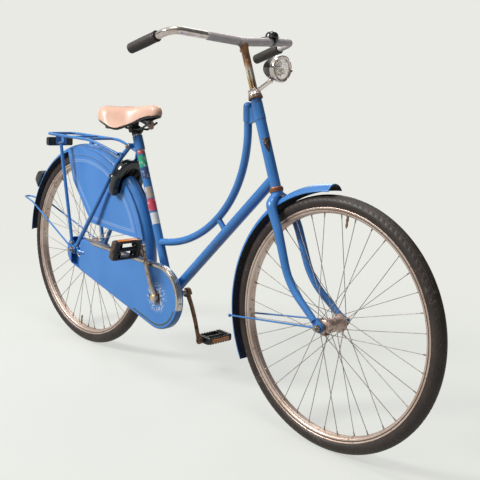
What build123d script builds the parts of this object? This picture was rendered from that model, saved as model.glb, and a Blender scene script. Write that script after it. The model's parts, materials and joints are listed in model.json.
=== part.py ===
"""Step-through roadster bicycle: curved top tube, full chain case, skirt guards and luggage rack.

Millimetres. X points forward, Y to the rider's left and Z up. The origin lies on top of the
saddle, where the rider sits. Road coordinates, which at() turns into these, start at the foot of
the rear axle on the road.
"""

import os
from math import atan2, cos, degrees, radians, sin, sqrt, tan

from build123d import *

# ---- overall layout -------------------------------------------------------------------------
wheel_radius = 350.0
wheelbase = 1147.0
head_angle = 67.5
head_tube_length = 260.0
fork_length = 405.0
fork_offset = 90.0
seat_angle = 67.2
seat_tube_length = 540.0
bracket_x = 474.5
bracket_height = 280.6
saddle_setback = 50.24
saddle_rise = 95.6
gap = 0.3

# ---- frame tubes ----------------------------------------------------------------------------
head_tube_radius = 15.6
head_tube_wall = 1.6
down_tube_radius = 16.0
down_tube_rise = 25.0
swan_tube_radius = 11.8
seat_tube_radius = 14.3
seat_tube_wall = 1.5
seat_post_radius = 12.5
lug_wall = 2.4
head_lug_wall = 0.9
head_lug_top = 14.0
head_lug_foot = 62.0
head_lug_reach = 42.0
seat_lug_length = 48.0
chain_stay_radius = 8.0
seat_stay_radius = 7.5
stay_bend = 60.0
bracket_shell_radius = 20.0
bracket_shell_width = 68.0
crank_axle_radius = 8.0
stay_bridge_radius = 6.0
chain_bridge_radius = 7.0
tube_bridge_radius = 8.5
tube_bridge_place = 348.0
tube_bridge_reach = 60.0

# ---- saddle ---------------------------------------------------------------------------------
cover_thickness = 38.0
cover_wall = 9.0
flap_drop = 38.0
nose_radius = 19.0
base_inset = 24.0
base_thickness = 3.0
rail_radius = 3.5
rail_drop = 26.0
clamp_half_width = 24.0
bumper_radius = 18.0
bumper_height = 42.0

# ---- wheels ---------------------------------------------------------------------------------
tyre_width = 39.0
tyre_height = 33.0
rim_depth = 17.0
rim_width = 30.0
rim_wall = 1.6
spoke_count = 36
spoke_radius = 1.0
front_spoke_circle = 21.0
rear_spoke_circle = 32.0
flange_thickness = 2.6
flange_edge = 4.3
front_barrel_radius = 20.0
front_flange_spread = 66.0
rear_barrel_radius = 27.0
rear_flange_spread = 58.0
axle_radius = 4.8
front_hub_width = 100.0
rear_hub_width = 120.0
front_axle_length = 148.0
rear_axle_length = 174.0
dropout_thickness = 5.0
eye_thickness = 2.0
nut_radius = 10.0
nut_height = 10.0

# ---- fork and steering ----------------------------------------------------------------------
steerer_radius = 12.7
cup_radius = 20.5
cup_height = 8.0
race_height = 5.0
locknut_height = 14.0
neck_length = 15.0
neck_radius = 17.5
blade_depth = 31.0
blade_width = 23.0
blade_tip_radius = 9.5
blade_forward = 12.0
stem_radius = 11.0
stem_rise = 170.0
quill_depth = 40.0
bar_radius = 11.0
bar_sweep = 28.3
bar_lift = 16.0
bar_half_width = 240.0
grip_half_width = 251.0
grip_back = 191.3
grip_drop = 37.0
bar_bend = 36.0
grip_length = 112.0
grip_radius = 16.0

# ---- fenders and guards ---------------------------------------------------------------------
fender_clearance = 28.0
fender_half_width = 28.5
fender_depth = 20.0
fender_wall = 1.0
rear_fender_start = -9.0
rear_fender_end = 178.5
front_fender_start = 94.0
front_fender_end = 210.0
guard_wall = 0.9
guard_lap = 8.0

# ---- chain case -----------------------------------------------------------------------------
case_inner = 38.0
case_outer = 62.0
case_wall = 1.2
case_room = 1.2
case_front_radius = 105.0
case_tail_radius = 54.0
case_tail_drop = 7.0
trim_thickness = 1.5

# ---- drive ----------------------------------------------------------------------------------
crank_length = 167.0
crank_angle = 114.0
crank_inner_face = 65.5
crank_thickness = 12.0
pedal_clearance = 8.0
pedal_length = 105.0
pedal_width = 65.0
pedal_height = 26.0
pedal_spindle_radius = 6.0
right_pedal_tilt = 75.0

# ---- rack -----------------------------------------------------------------------------------
rack_clearance = 22.0
rack_half_width = 60.0
rack_rear_x = -203.0
rack_bend_x = 85.0
rack_tube_radius = 5.0
rack_bar_radius = 4.0
rack_bar_places = (-50.0, 45.0)
rack_plate_x = -94.0
rack_stay_radius = 6.0
plate_thickness = 3.0

# ---- lights, bell and lock ------------------------------------------------------------------
lamp_rise = 42.5
lamp_reach = 122.2
lamp_radius = 37.0
lamp_depth = 64.0
lamp_rim_depth = 9.0
lamp_rim_width = 5.0
arm_width = 14.0
arm_thickness = 3.0
bell_radius = 19.0
bell_base_radius = 23.0
bell_place = 134.0
tail_lamp_length = 74.0
tail_lamp_width = 42.0
tail_lamp_depth = 35.0
reflector_width = 104.0
reflector_height = 31.0
reflector_depth = 18.0
lock_half_width = 62.0
lock_thickness = 28.0
loop_radius = 3.2

# ---- values that follow from the ones above ---------------------------------------------------
rim_edge_radius = wheel_radius - tyre_height
rim_inner_radius = rim_edge_radius - rim_depth
fender_radius = wheel_radius + fender_clearance
rack_height = wheel_radius + fender_radius + rack_clearance
head_tube_bore = head_tube_radius - head_tube_wall
seat_tube_bore = seat_tube_radius - seat_tube_wall
crank_outer_face = crank_inner_face + crank_thickness
saddle_x = bracket_x - seat_tube_length * cos(radians(seat_angle)) - saddle_setback
saddle_top_height = bracket_height + seat_tube_length * sin(radians(seat_angle)) + saddle_rise


def at(x, y, z):
    """A point in road coordinates."""
    return Vector(x - saddle_x, y, z - saddle_top_height)


def polar(centre, radius, angle, y=0.0):
    """A point at a distance and an angle above straight ahead from a centre, y to the left."""
    turn = radians(angle)
    return Vector(centre.X + radius * cos(turn), y, centre.Z + radius * sin(turn))


def other_side(point):
    """The mirror point on the rider's right."""
    return Vector(point.X, -point.Y, point.Z)


def rod(start, end, radius, mode=Mode.ADD):
    """A straight round bar from start to end."""
    with BuildSketch(Plane(origin=start, z_dir=end - start)) as section:
        Circle(radius)
    extrude(section.sketch, amount=(end - start).length, mode=mode)


def bent_rod(points, bends, radius, mode=Mode.ADD):
    """A round bar through points, with a bend radius at each inner point."""
    with BuildLine() as route:
        FilletPolyline(*points, radius=bends)
    with BuildSketch(Plane(origin=points[0], z_dir=points[1] - points[0])) as section:
        Circle(radius)
    sweep(section.sketch, path=route.line, mode=mode)


def bend_from(before, corner, after, reach):
    """The radius of a bend that starts at a reach before a corner and ends as far after it."""
    turn = (corner - before).get_angle(after - corner)
    return reach / tan(radians(turn / 2))


def where_reach(start, end, centre, reach):
    """The first point from start towards end that lies at a reach from a wheel's axle."""
    run = (end - start).normalized()
    offset = Vector(start.X - centre.X, 0, start.Z - centre.Z)
    square = run.X**2 + run.Z**2
    half = offset.X * run.X + offset.Z * run.Z
    rest = offset.length**2 - reach**2
    return start + run * ((-half - sqrt(half**2 - square * rest)) / square)


def side_plane(centre, y):
    """A side-view plane through a centre at y, drawn with forward to the right and up up."""
    return Plane(origin=(centre.X, y, centre.Z), x_dir=(1, 0, 0), z_dir=(0, -1, 0))


# ---- key points and directions --------------------------------------------------------------
left = Vector(0, 1, 0)
rear_axle_point = at(0, 0, wheel_radius)
front_axle_point = at(wheelbase, 0, wheel_radius)
steer_up = Vector(-cos(radians(head_angle)), 0, sin(radians(head_angle)))
steer_forward = Vector(sin(radians(head_angle)), 0, cos(radians(head_angle)))
head_bottom = front_axle_point + steer_up * fork_length - steer_forward * fork_offset
head_top = head_bottom + steer_up * head_tube_length
bracket_point = at(bracket_x, 0, bracket_height)
seat_up = Vector(-cos(radians(seat_angle)), 0, sin(radians(seat_angle)))
seat_back = Vector(-sin(radians(seat_angle)), 0, -cos(radians(seat_angle)))
seat_top = bracket_point + seat_up * seat_tube_length
stem_top = head_top + steer_up * stem_rise


def steer_point(up, forward=0.0, y=0.0):
    """A point measured from the foot of the head tube along and across the steering axis."""
    return head_bottom + steer_up * up + steer_forward * forward + left * y


# ---- frame ----------------------------------------------------------------------------------
with BuildPart() as head_tube:
    rod(head_bottom, head_top, head_tube_radius)
    rod(head_bottom, head_top, head_tube_bore, mode=Mode.SUBTRACT)

with BuildPart() as seat_tube:
    rod(bracket_point, seat_top, seat_tube_radius)
    rod(bracket_point, seat_top + seat_up, seat_tube_bore, mode=Mode.SUBTRACT)
    rod(bracket_point - left * 60, bracket_point + left * 60, bracket_shell_radius, mode=Mode.SUBTRACT)

down_tube_top = steer_point(down_tube_rise)
down_run = (down_tube_top - bracket_point).normalized()
down_normal = Vector(-down_run.Z, 0, down_run.X)
with BuildPart() as down_tube:
    rod(bracket_point, down_tube_top, down_tube_radius)
    rod(bracket_point - left * 60, bracket_point + left * 60, bracket_shell_radius, mode=Mode.SUBTRACT)
    rod(bracket_point, seat_top, seat_tube_radius + gap, mode=Mode.SUBTRACT)
    rod(head_bottom - steer_up * 60, head_top, head_tube_radius, mode=Mode.SUBTRACT)
    rod(head_bottom - steer_up * 60, head_bottom, cup_radius + gap, mode=Mode.SUBTRACT)

# The curved tube leaves a lug high on the head tube, follows the down tube and ends low on the
# seat tube. Its two large bends share the long run between them.
swan_top = steer_point(head_tube_length - 11.1, -35.7)
swan_front = steer_point(38.0, -106.2)
swan_low = bracket_point + down_run * 214.5 + down_normal * 56.1
swan_seat = bracket_point + seat_up * 177
swan_corners = [swan_top, swan_front, swan_low, swan_seat]
front_reach = min(0.534 * (swan_low - swan_front).length, 0.9 * (swan_front - swan_top).length)
low_reach = 0.454 * (swan_low - swan_front).length
swan_bends = [
    bend_from(swan_top, swan_front, swan_low, front_reach),
    bend_from(swan_front, swan_low, swan_seat, min(low_reach, 0.9 * (swan_seat - swan_low).length)),
]
with BuildPart() as swan_tube:
    bent_rod(swan_corners, swan_bends, swan_tube_radius)
    rod(bracket_point, seat_top, seat_tube_radius, mode=Mode.SUBTRACT)

with BuildPart() as head_lug:
    lug_dir = (swan_front - swan_top).normalized()
    rod(swan_top, swan_top + lug_dir * head_lug_reach, swan_tube_radius + lug_wall)
    with Locations(swan_top):
        Sphere(swan_tube_radius + lug_wall)
    lug_low = steer_point(head_tube_length - head_lug_foot)
    rod(lug_low, steer_point(head_tube_length - head_lug_top), head_tube_radius + head_lug_wall)
    with BuildSketch(Plane(origin=head_bottom, x_dir=steer_up, z_dir=(0, -1, 0)).offset(-7)) as web:
        Polygon(
            (head_tube_length - head_lug_foot + 2, 0),
            (head_tube_length - head_lug_top - 4, 0),
            (head_tube_length - head_lug_top - 4, 36),
            (head_tube_length - head_lug_foot + 2, 44),
            align=None,
        )
    extrude(web.sketch, amount=14)
    rod(steer_point(-10), steer_point(head_tube_length + 10), head_tube_radius, mode=Mode.SUBTRACT)
    rod(swan_top, swan_top + lug_dir * 2 * head_lug_reach, swan_tube_radius, mode=Mode.SUBTRACT)

bridge_foot = bracket_point + down_run * tube_bridge_place
with BuildPart() as tube_bridge:
    rod(bridge_foot, bridge_foot + down_normal * tube_bridge_reach, tube_bridge_radius)
    rod(bracket_point, down_tube_top, down_tube_radius, mode=Mode.SUBTRACT)
    bent_rod(swan_corners, swan_bends, swan_tube_radius, mode=Mode.SUBTRACT)

# The right end of the shell is also the seat of the chain case.
shell_right = bracket_point - left * (case_inner - gap)
shell_left = bracket_point + left * (bracket_shell_width / 2)
with BuildPart() as bracket_shell:
    rod(shell_right, shell_left, bracket_shell_radius)
    rod(shell_left - left * 5, shell_left, bracket_shell_radius + 1.5)
    rod(shell_right - left, shell_left + left, crank_axle_radius + 1, mode=Mode.SUBTRACT)

clamp_point = seat_top - seat_up * 26 + seat_back * (seat_tube_radius + 12)
with BuildPart() as seat_lug:
    rod(seat_top - seat_up * seat_lug_length, seat_top, seat_tube_radius + lug_wall)
    rod(clamp_point - left * 11, clamp_point + left * 11, 7.5)
    with BuildSketch(Plane(origin=clamp_point, x_dir=seat_back, z_dir=(0, -1, 0)).offset(-11)) as ear:
        with Locations((-7, 0)):
            Rectangle(14, 15)
    extrude(ear.sketch, amount=22)
    rod(bracket_point, seat_top + seat_up, seat_tube_radius, mode=Mode.SUBTRACT)

rear_side = rear_hub_width / 2 + gap
stay_y = rear_side + dropout_thickness / 2
stay_foot = at(13, stay_y, wheel_radius + 16)
stay_knee = polar(rear_axle_point, fender_radius + 21.5, 57.8, y=39)
stay_head = clamp_point + left * 19
stay_route = [stay_head, stay_knee, stay_foot]
upper_stay = (stay_knee - stay_head).length
seat_stay_bend = min(stay_bend, bend_from(stay_head, stay_knee, stay_foot, 0.9 * upper_stay))
with BuildPart() as seat_stay_left:
    bent_rod(stay_route, seat_stay_bend, seat_stay_radius)
    rod(clamp_point + left * 11.3, clamp_point + left * 29, 9.5)
with BuildPart() as seat_stay_right:
    mirror(seat_stay_left.part, about=Plane.XZ)

eyelet = (-12, 24)
chain_foot = at(26, stay_y, wheel_radius - 3)
chain_knee = at(60, 52, wheel_radius - 4)
chain_head = bracket_point + Vector(-bracket_shell_radius + 2, 25, 3)
chain_route = [chain_foot, chain_knee, chain_head]
with BuildPart() as chain_stay_left:
    bent_rod(chain_route, stay_bend, chain_stay_radius)
    with BuildSketch(side_plane(rear_axle_point, rear_side + dropout_thickness)) as dropout:
        Circle(16)
        with Locations((14, 2)):
            Rectangle(26, 22)
        with Locations((8, 14)):
            Circle(10)
        with Locations(eyelet):
            Circle(8)
        with Locations((-9, 14)):
            Rectangle(14, 18)
        Circle(axle_radius + gap, mode=Mode.SUBTRACT)
    extrude(dropout.sketch, amount=dropout_thickness)
    bent_rod(stay_route, seat_stay_bend, seat_stay_radius + 0.02, mode=Mode.SUBTRACT)
    rod(shell_right, shell_left, bracket_shell_radius, mode=Mode.SUBTRACT)
    rod(shell_left - left * 5, shell_left + left * 10, bracket_shell_radius + 1.5, mode=Mode.SUBTRACT)
with BuildPart() as chain_stay_right:
    mirror(chain_stay_left.part, about=Plane.XZ)

# Two cross bars between the stays carry the rear fender, just outside its crown.
seat_bridge_end = where_reach(stay_knee, stay_foot, rear_axle_point, fender_radius + gap + stay_bridge_radius)
chain_bridge_end = where_reach(chain_head, chain_knee, rear_axle_point, fender_radius + gap + chain_bridge_radius)
with BuildPart() as fender_bridges:
    rod(other_side(seat_bridge_end), seat_bridge_end, stay_bridge_radius)
    rod(other_side(chain_bridge_end), chain_bridge_end, chain_bridge_radius)
    bent_rod(stay_route, seat_stay_bend, seat_stay_radius, mode=Mode.SUBTRACT)
    bent_rod([other_side(p) for p in stay_route], seat_stay_bend, seat_stay_radius, mode=Mode.SUBTRACT)
    bent_rod(chain_route, stay_bend, chain_stay_radius, mode=Mode.SUBTRACT)
    bent_rod([other_side(p) for p in chain_route], stay_bend, chain_stay_radius, mode=Mode.SUBTRACT)

with BuildPart() as headset_cups:
    rod(head_bottom - steer_up * cup_height, head_bottom, cup_radius)
    rod(head_top, head_top + steer_up * cup_height, cup_radius)
    chamfer(headset_cups.edges().filter_by(GeomType.CIRCLE), length=1.5)
    rod(head_bottom - steer_up * 20, head_top + steer_up * 20, steerer_radius + 1.2, mode=Mode.SUBTRACT)

# ---- saddle ---------------------------------------------------------------------------------
# Heights in this section are in the part's own coordinates, down from the saddle's top.
base_bottom = -cover_thickness - gap - base_thickness
rail_high = base_bottom - gap - rail_radius
rail_low = rail_high - rail_drop
clamp_centre = seat_top + seat_up * ((rail_low - 4 - seat_top.Z) / seat_up.Z)
post_top = clamp_centre + seat_up * 8
rail_routes = [
    [
        Vector(clamp_centre.X + 92, side * 14, rail_high),
        Vector(clamp_centre.X + 42, side * 16, rail_low),
        Vector(clamp_centre.X - 28, side * 18, rail_low),
        Vector(clamp_centre.X - 92, side * 25, rail_high),
    ]
    for side in (-1, 1)
]
with BuildPart() as seat_post:
    rod(seat_top - seat_up * 120, post_top, seat_post_radius)

with BuildPart() as saddle_clamp:
    rod(seat_top + seat_up * 5, clamp_centre + seat_up * 9, 16.5)
    rod(clamp_centre - left * clamp_half_width, clamp_centre + left * clamp_half_width, 9.5)
    rod(seat_top, clamp_centre + seat_up * 30, seat_post_radius + gap, mode=Mode.SUBTRACT)
    for route in rail_routes:
        bent_rod(route, [20, 20], rail_radius + gap, mode=Mode.SUBTRACT)

with BuildPart() as saddle_rails:
    for route in rail_routes:
        bent_rod(route, [20, 20], rail_radius)


def saddle_outline(inset):
    """The saddle seen from above as a closed face, inset all round."""
    with BuildSketch(mode=Mode.PRIVATE) as outline:
        with Locations((147 - inset, 0)):
            Circle(max(nose_radius - inset, 3))
        for side in (-1, 1):
            with Locations((-52 + inset / 2, side * (55 - inset / 2))):
                Circle(36 - inset / 2)
            with Locations((8, side * (60 - inset))):
                Circle(22)
        make_hull()
    return outline.sketch


with BuildPart() as saddle_base:
    with BuildSketch(Plane.XY.offset(base_bottom)) as base_outline:
        add(saddle_outline(base_inset))
    extrude(base_outline.sketch, amount=base_thickness)
    for side in (-1, 1):
        bumper = Vector(-36, side * 48, base_bottom - bumper_height + 6)
        rod(bumper, Vector(bumper.X, bumper.Y, base_bottom), bumper_radius)
    bumper_rims = saddle_base.edges().filter_by(GeomType.CIRCLE).group_by(Axis.Z)[0]
    fillet(bumper_rims, radius=7)

with BuildPart() as saddle_cover:
    with BuildSketch(Plane.XY.offset(-cover_thickness - flap_drop)) as cover_outline:
        add(saddle_outline(0))
    extrude(cover_outline.sketch, amount=cover_thickness + flap_drop + 20)
    flap_low = -cover_thickness - flap_drop
    with BuildSketch(Plane.XZ.offset(120)) as cover_profile:
        with BuildLine():
            Polyline((-96, -46), (-96, -24))
            Spline((-96, -24), (-86, -10), (-55, -2), (0, -1), (60, 4), (115, 10), (148, 9), (168, -8))
            Polyline((168, -8), (168, -25))
            Spline((168, -25), (112, -37), (68, -56), (30, flap_low), (-14, -67), (-96, -46))
        make_face()
    extrude(cover_profile.sketch, amount=-240, mode=Mode.INTERSECT)
    with BuildSketch(Plane.XY.offset(-cover_thickness)) as pocket:
        add(saddle_outline(cover_wall))
    extrude(pocket.sketch, amount=-flap_drop - 20, mode=Mode.SUBTRACT)

# ---- wheels ---------------------------------------------------------------------------------


def wheel_section(centre):
    """The plane of a wheel's cross-section above its axle: across to the left, up outwards."""
    return Plane(origin=centre, x_dir=(0, 1, 0), z_dir=(1, 0, 0))


def make_tyre(centre):
    """A tyre of round section, with a foot that fits between the rim's walls."""
    half_bead = rim_width / 2 - rim_wall - gap
    core = wheel_radius - tyre_width / 2
    with BuildPart() as tyre:
        with BuildSketch(wheel_section(centre)) as section:
            with Locations((0, core)):
                Circle(tyre_width / 2)
            with Locations((0, rim_edge_radius + gap - 20)):
                Rectangle(60, 40, mode=Mode.SUBTRACT)
            with Locations((0, (rim_edge_radius + rim_inner_radius + 4) / 2)):
                Rectangle(2 * half_bead, rim_edge_radius - rim_inner_radius - 3)
        revolve(section.sketch, axis=Axis(centre, (0, 1, 0)))
    return tyre


def make_rim(centre):
    """A rim with a flat-bottomed well and two upright walls."""
    half = rim_width / 2
    with BuildPart() as rim:
        with BuildSketch(wheel_section(centre)) as section:
            Polygon(
                (-half, rim_edge_radius),
                (-half, rim_inner_radius + 6),
                (-half + 5, rim_inner_radius),
                (half - 5, rim_inner_radius),
                (half, rim_inner_radius + 6),
                (half, rim_edge_radius),
                (half - rim_wall, rim_edge_radius),
                (half - rim_wall, rim_inner_radius + 3),
                (-half + rim_wall, rim_inner_radius + 3),
                (-half + rim_wall, rim_edge_radius),
                align=None,
            )
        revolve(section.sketch, axis=Axis(centre, (0, 1, 0)))
    return rim


def make_hub(centre, barrel, circle, spread, width):
    """A hub shell with two spoke flanges, bored for its axle."""
    half = width / 2 - 12
    flange = circle + flange_edge
    with BuildPart() as hub:
        rod(centre - left * half, centre + left * half, barrel)
        for side in (-1, 1):
            middle = centre + left * (side * spread / 2)
            rod(middle - left * flange_thickness / 2, middle + left * flange_thickness / 2, flange)
        rod(centre - left * width, centre + left * width, axle_radius + 0.6, mode=Mode.SUBTRACT)
    return hub


def make_spokes(centre, circle, spread):
    """Straight spokes laced three-cross, from beside the flanges to just under the rim."""
    per_side = spoke_count // 2
    pitch = 360 / per_side
    lift = flange_thickness / 2 + spoke_radius + gap + flange_edge * spread / 2 / rim_inner_radius * 1.6
    with BuildPart() as spokes:
        for side in (-1, 1):
            for number in range(per_side):
                lean = 1 if number % 2 else -1
                foot_angle = pitch * number + (pitch / 2 if side > 0 else 0)
                foot = polar(centre, circle, foot_angle, side * spread / 2 + lean * lift)
                tip_angle = foot_angle + lean * 3 * pitch
                tip = polar(centre, rim_inner_radius - 0.6, tip_angle, side * 3.0)
                rod(foot, tip, spoke_radius)
    return spokes


def make_axle(centre, hub_width, length, plate, washer):
    """An axle with its cones, locknuts and the outer nuts."""
    with BuildPart() as axle:
        rod(centre - left * length / 2, centre + left * length / 2, axle_radius)
        for side in (-1, 1):
            inner = hub_width / 2
            rod(centre + left * side * (inner - 11.5), centre + left * side * inner, 9.0)
            nut_face = inner + gap + plate + gap + washer + gap
            with BuildSketch(Plane(origin=centre + left * side * nut_face, z_dir=left * side)) as hexagon:
                RegularPolygon(nut_radius, 6)
            extrude(hexagon.sketch, amount=nut_height)
    return axle


front_tyre = make_tyre(front_axle_point)
rear_tyre = make_tyre(rear_axle_point)
front_rim = make_rim(front_axle_point)
rear_rim = make_rim(rear_axle_point)
front_hub = make_hub(front_axle_point, front_barrel_radius, front_spoke_circle, front_flange_spread, front_hub_width)
rear_hub = make_hub(rear_axle_point, rear_barrel_radius, rear_spoke_circle, rear_flange_spread, rear_hub_width)
front_spokes = make_spokes(front_axle_point, front_spoke_circle, front_flange_spread)
rear_spokes = make_spokes(rear_axle_point, rear_spoke_circle, rear_flange_spread)
front_axle = make_axle(front_axle_point, front_hub_width, front_axle_length, dropout_thickness, eye_thickness)
rear_axle = make_axle(rear_axle_point, rear_hub_width, rear_axle_length, dropout_thickness, 2 * eye_thickness + gap)

# ---- fork -----------------------------------------------------------------------------------
crown_drop = cup_height + race_height + gap
locknut_top = head_tube_length + cup_height + locknut_height
with BuildPart() as fork_steerer:
    rod(steer_point(-crown_drop), steer_point(locknut_top), steerer_radius)
    rod(steer_point(-crown_drop - neck_length), steer_point(-cup_height - gap), neck_radius)
    rod(steer_point(-crown_drop - neck_length - 14), steer_point(-crown_drop - neck_length + 1), 5)
    rod(steer_point(head_tube_length + cup_height + gap), steer_point(locknut_top), neck_radius)
    rod(steer_point(head_tube_length - quill_depth), steer_point(locknut_top + 9), stem_radius + gap, mode=Mode.SUBTRACT)
    rod(front_axle_point - left * 30, front_axle_point + left * 30, fender_radius + gap, mode=Mode.SUBTRACT)

tip_side = front_hub_width / 2 + gap + dropout_thickness / 2
blade_end = Vector(-19.1, 0, 14.5)
blade_corner = steer_point(-272.8, blade_forward, 47)
blade_route = [
    steer_point(-crown_drop - 10, 0, 9),
    steer_point(-crown_drop - 31, 3, 40),
    steer_point(-crown_drop - 110, blade_forward, 42),
    blade_corner,
    front_axle_point + left * tip_side + blade_end,
]
with BuildPart() as fork_blade_left:
    with BuildLine() as blade_line:
        FilletPolyline(*blade_route, radius=[26, 150, 200])
    blade_start = Plane(origin=blade_route[0], x_dir=steer_forward, z_dir=blade_route[1] - blade_route[0])
    with BuildSketch(blade_start) as blade_root:
        Ellipse(blade_depth / 2, blade_width / 2)
    end_dir = blade_route[4] - blade_route[3]
    with BuildSketch(Plane(origin=blade_route[4], x_dir=end_dir.cross(left) * -1, z_dir=end_dir)) as blade_foot:
        Circle(blade_tip_radius)
    sweep([blade_root.sketch.faces()[0], blade_foot.sketch.faces()[0]], path=blade_line.line, multisection=True)
    with BuildSketch(side_plane(front_axle_point, tip_side + dropout_thickness / 2)) as tip_plate:
        Circle(14)
        with Locations((blade_end.X - 4, blade_end.Z + 3)):
            Circle(blade_tip_radius)
        make_hull()
        Circle(axle_radius + gap, mode=Mode.SUBTRACT)
    extrude(tip_plate.sketch, amount=dropout_thickness)
    rod(steer_point(-crown_drop - neck_length), steer_point(0), neck_radius, mode=Mode.SUBTRACT)
    rod(steer_point(-crown_drop - neck_length - 14), steer_point(0), 5 + gap, mode=Mode.SUBTRACT)
with BuildPart() as fork_blade_right:
    mirror(fork_blade_left.part, about=Plane.XZ)

# ---- stem, handlebar and what they carry ----------------------------------------------------
bar_knee = stem_top + Vector(-bar_sweep, bar_half_width, bar_lift)
bar_end = stem_top + Vector(-grip_back, grip_half_width, -grip_drop)
bar_route = [bar_end, bar_knee, stem_top, other_side(bar_knee), other_side(bar_end)]
bar_bends = [bar_bend, 150, bar_bend]
with BuildPart() as handlebar:
    bent_rod(bar_route, bar_bends, bar_radius)

with BuildPart() as stem:
    rod(steer_point(head_tube_length - quill_depth + 2), stem_top, stem_radius)
    rod(stem_top - left * 14, stem_top + left * 14, bar_radius + 3)
    bent_rod(bar_route, bar_bends, bar_radius + gap, mode=Mode.SUBTRACT)

grip_dir = (bar_knee - bar_end).normalized()
with BuildPart() as grips:
    rod(bar_end - grip_dir * 5, bar_end + grip_dir * grip_length, grip_radius)
    rod(bar_end - grip_dir * gap, bar_end + grip_dir * (grip_length + 1), bar_radius + gap, mode=Mode.SUBTRACT)
    mirror(about=Plane.XZ)

bell_foot = stem_top + (bar_knee - stem_top) * (bell_place / bar_half_width)
bell_base = bell_foot + Vector(0, 0, bar_radius + 2.5)
with BuildPart() as bell:
    rod(bell_base, bell_base + Vector(0, 0, 16), bell_radius)
    fillet(bell.edges().sort_by(Axis.Z)[-1], radius=11)
    rod(bell_base, bell_base + Vector(0, 0, 3.5), bell_base_radius)
    rod(bell_foot - left * 6, bell_foot + left * 6, bar_radius + 3)
    rod(bell_foot, bell_base + Vector(0, 0, 1), 6)
    rod(stem_top, bar_knee, bar_radius + gap, mode=Mode.SUBTRACT)

lamp_face = steer_point(head_tube_length + lamp_rise, lamp_reach)
lamp_plane = Plane(origin=lamp_face, x_dir=(0, 0, 1), z_dir=(0, 1, 0))
lamp_rear = -lamp_rim_depth
arm_tip = lamp_face + Vector(-40, 0, -lamp_radius - 1.5)
with BuildPart() as lamp_shell:
    with BuildSketch(lamp_plane) as bowl:
        with BuildLine():
            Line((0, lamp_rear), (0, -lamp_depth))
            Spline(
                (0, -lamp_depth),
                (lamp_radius * 0.62, -lamp_depth * 0.84),
                (lamp_radius - 2, lamp_rear),
                tangents=[(1, 0), (0.25, 1)],
            )
            Line((lamp_radius - 2, lamp_rear), (0, lamp_rear))
        make_face()
    revolve(bowl.sketch, axis=Axis(lamp_face, (1, 0, 0)))
    rod(arm_tip + Vector(0, 0, arm_thickness / 2 + gap), arm_tip + Vector(0, 0, 20), 6)
with BuildPart() as lamp_rim:
    with BuildSketch(Plane(origin=lamp_face, z_dir=(-1, 0, 0))) as rim_ring:
        Circle(lamp_radius)
        Circle(lamp_radius - lamp_rim_width, mode=Mode.SUBTRACT)
    extrude(rim_ring.sketch, amount=lamp_rim_depth - gap)
with BuildPart() as lamp_lens:
    lens_back = lamp_face - Vector(lamp_rim_depth - gap, 0, 0)
    rod(lens_back, lens_back + Vector(6, 0, 0), lamp_radius - lamp_rim_width - gap)

# The bracket is a flat bar: a ring under the stem's nut, then an arm that rises to the lamp.
ring_centre = steer_point(locknut_top + gap + arm_thickness / 2)
arm_knee = ring_centre + Vector(30, 0, 19)
with BuildPart() as lamp_bracket:
    rod(steer_point(locknut_top + gap), steer_point(locknut_top + gap + arm_thickness), neck_radius)
    arm_points = [ring_centre + steer_forward * 12, arm_knee, arm_tip - Vector(10, 0, 0), arm_tip + Vector(7, 0, 0)]
    with BuildSketch(side_plane(ring_centre, arm_width / 2)) as arm:
        with BuildLine():
            Polyline(*[(p.X - ring_centre.X, p.Z - ring_centre.Z) for p in arm_points])
        trace(line_width=arm_thickness)
    extrude(arm.sketch, amount=arm_width)
    rod(steer_point(locknut_top - 10), steer_point(locknut_top + 30), stem_radius + gap, mode=Mode.SUBTRACT)

# ---- fenders and guards ---------------------------------------------------------------------


def make_fender(centre, start, end):
    """A rounded channel that follows the tyre from one angle above straight ahead to another."""
    turn = radians(start)
    plane = Plane(origin=centre, x_dir=(0, 1, 0), z_dir=(sin(turn), 0, -cos(turn)))
    edge = fender_radius - fender_depth
    inner = fender_half_width - fender_wall
    with BuildPart() as fender:
        with BuildSketch(plane) as section:
            with BuildLine():
                Line((inner, edge), (fender_half_width, edge))
                ThreePointArc((fender_half_width, edge), (0, fender_radius), (-fender_half_width, edge))
                Line((-fender_half_width, edge), (-inner, edge))
                ThreePointArc((-inner, edge), (0, fender_radius - fender_wall), (inner, edge))
            make_face()
        revolve(section.sketch, axis=Axis(centre, (0, -1, 0)), revolution_arc=end - start)
    return fender


rear_fender = make_fender(rear_axle_point, rear_fender_start, rear_fender_end)
with rear_fender:
    bent_rod(chain_route, stay_bend, chain_stay_radius + gap, mode=Mode.SUBTRACT)
    bent_rod([other_side(p) for p in chain_route], stay_bend, chain_stay_radius + gap, mode=Mode.SUBTRACT)
front_fender = make_fender(front_axle_point, front_fender_start, front_fender_end)

guard_face = fender_half_width + gap
with BuildPart() as skirt_guard_left:
    with BuildSketch(side_plane(rear_axle_point, guard_face + guard_wall)) as guard:
        Circle(fender_radius - fender_depth + guard_lap)
        Polygon(
            (-150, 455),
            (-72, 243),
            (50, 103),
            (211, 95),
            (355, 93),
            (600, 200),
            (600, 600),
            align=None,
            mode=Mode.INTERSECT,
        )
    extrude(guard.sketch, amount=guard_wall)
with BuildPart() as skirt_guard_right:
    mirror(skirt_guard_left.part, about=Plane.XZ)

# ---- chain case -----------------------------------------------------------------------------


def case_block(outer_y, inner_y, inset, bevel):
    """The filled outline of the chain case, inset all round, with its outer edge rounded."""
    with BuildPart() as block:
        with BuildSketch(side_plane(bracket_point, inner_y)) as outline:
            Circle(case_front_radius - inset)
            with Locations((-bracket_x, wheel_radius - bracket_height - case_tail_drop)):
                Circle(case_tail_radius - inset)
            make_hull()
        extrude(outline.sketch, amount=inner_y - outer_y)
        fillet(block.faces().sort_by(Axis.Y)[0].edges(), radius=bevel)
    return block


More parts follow.
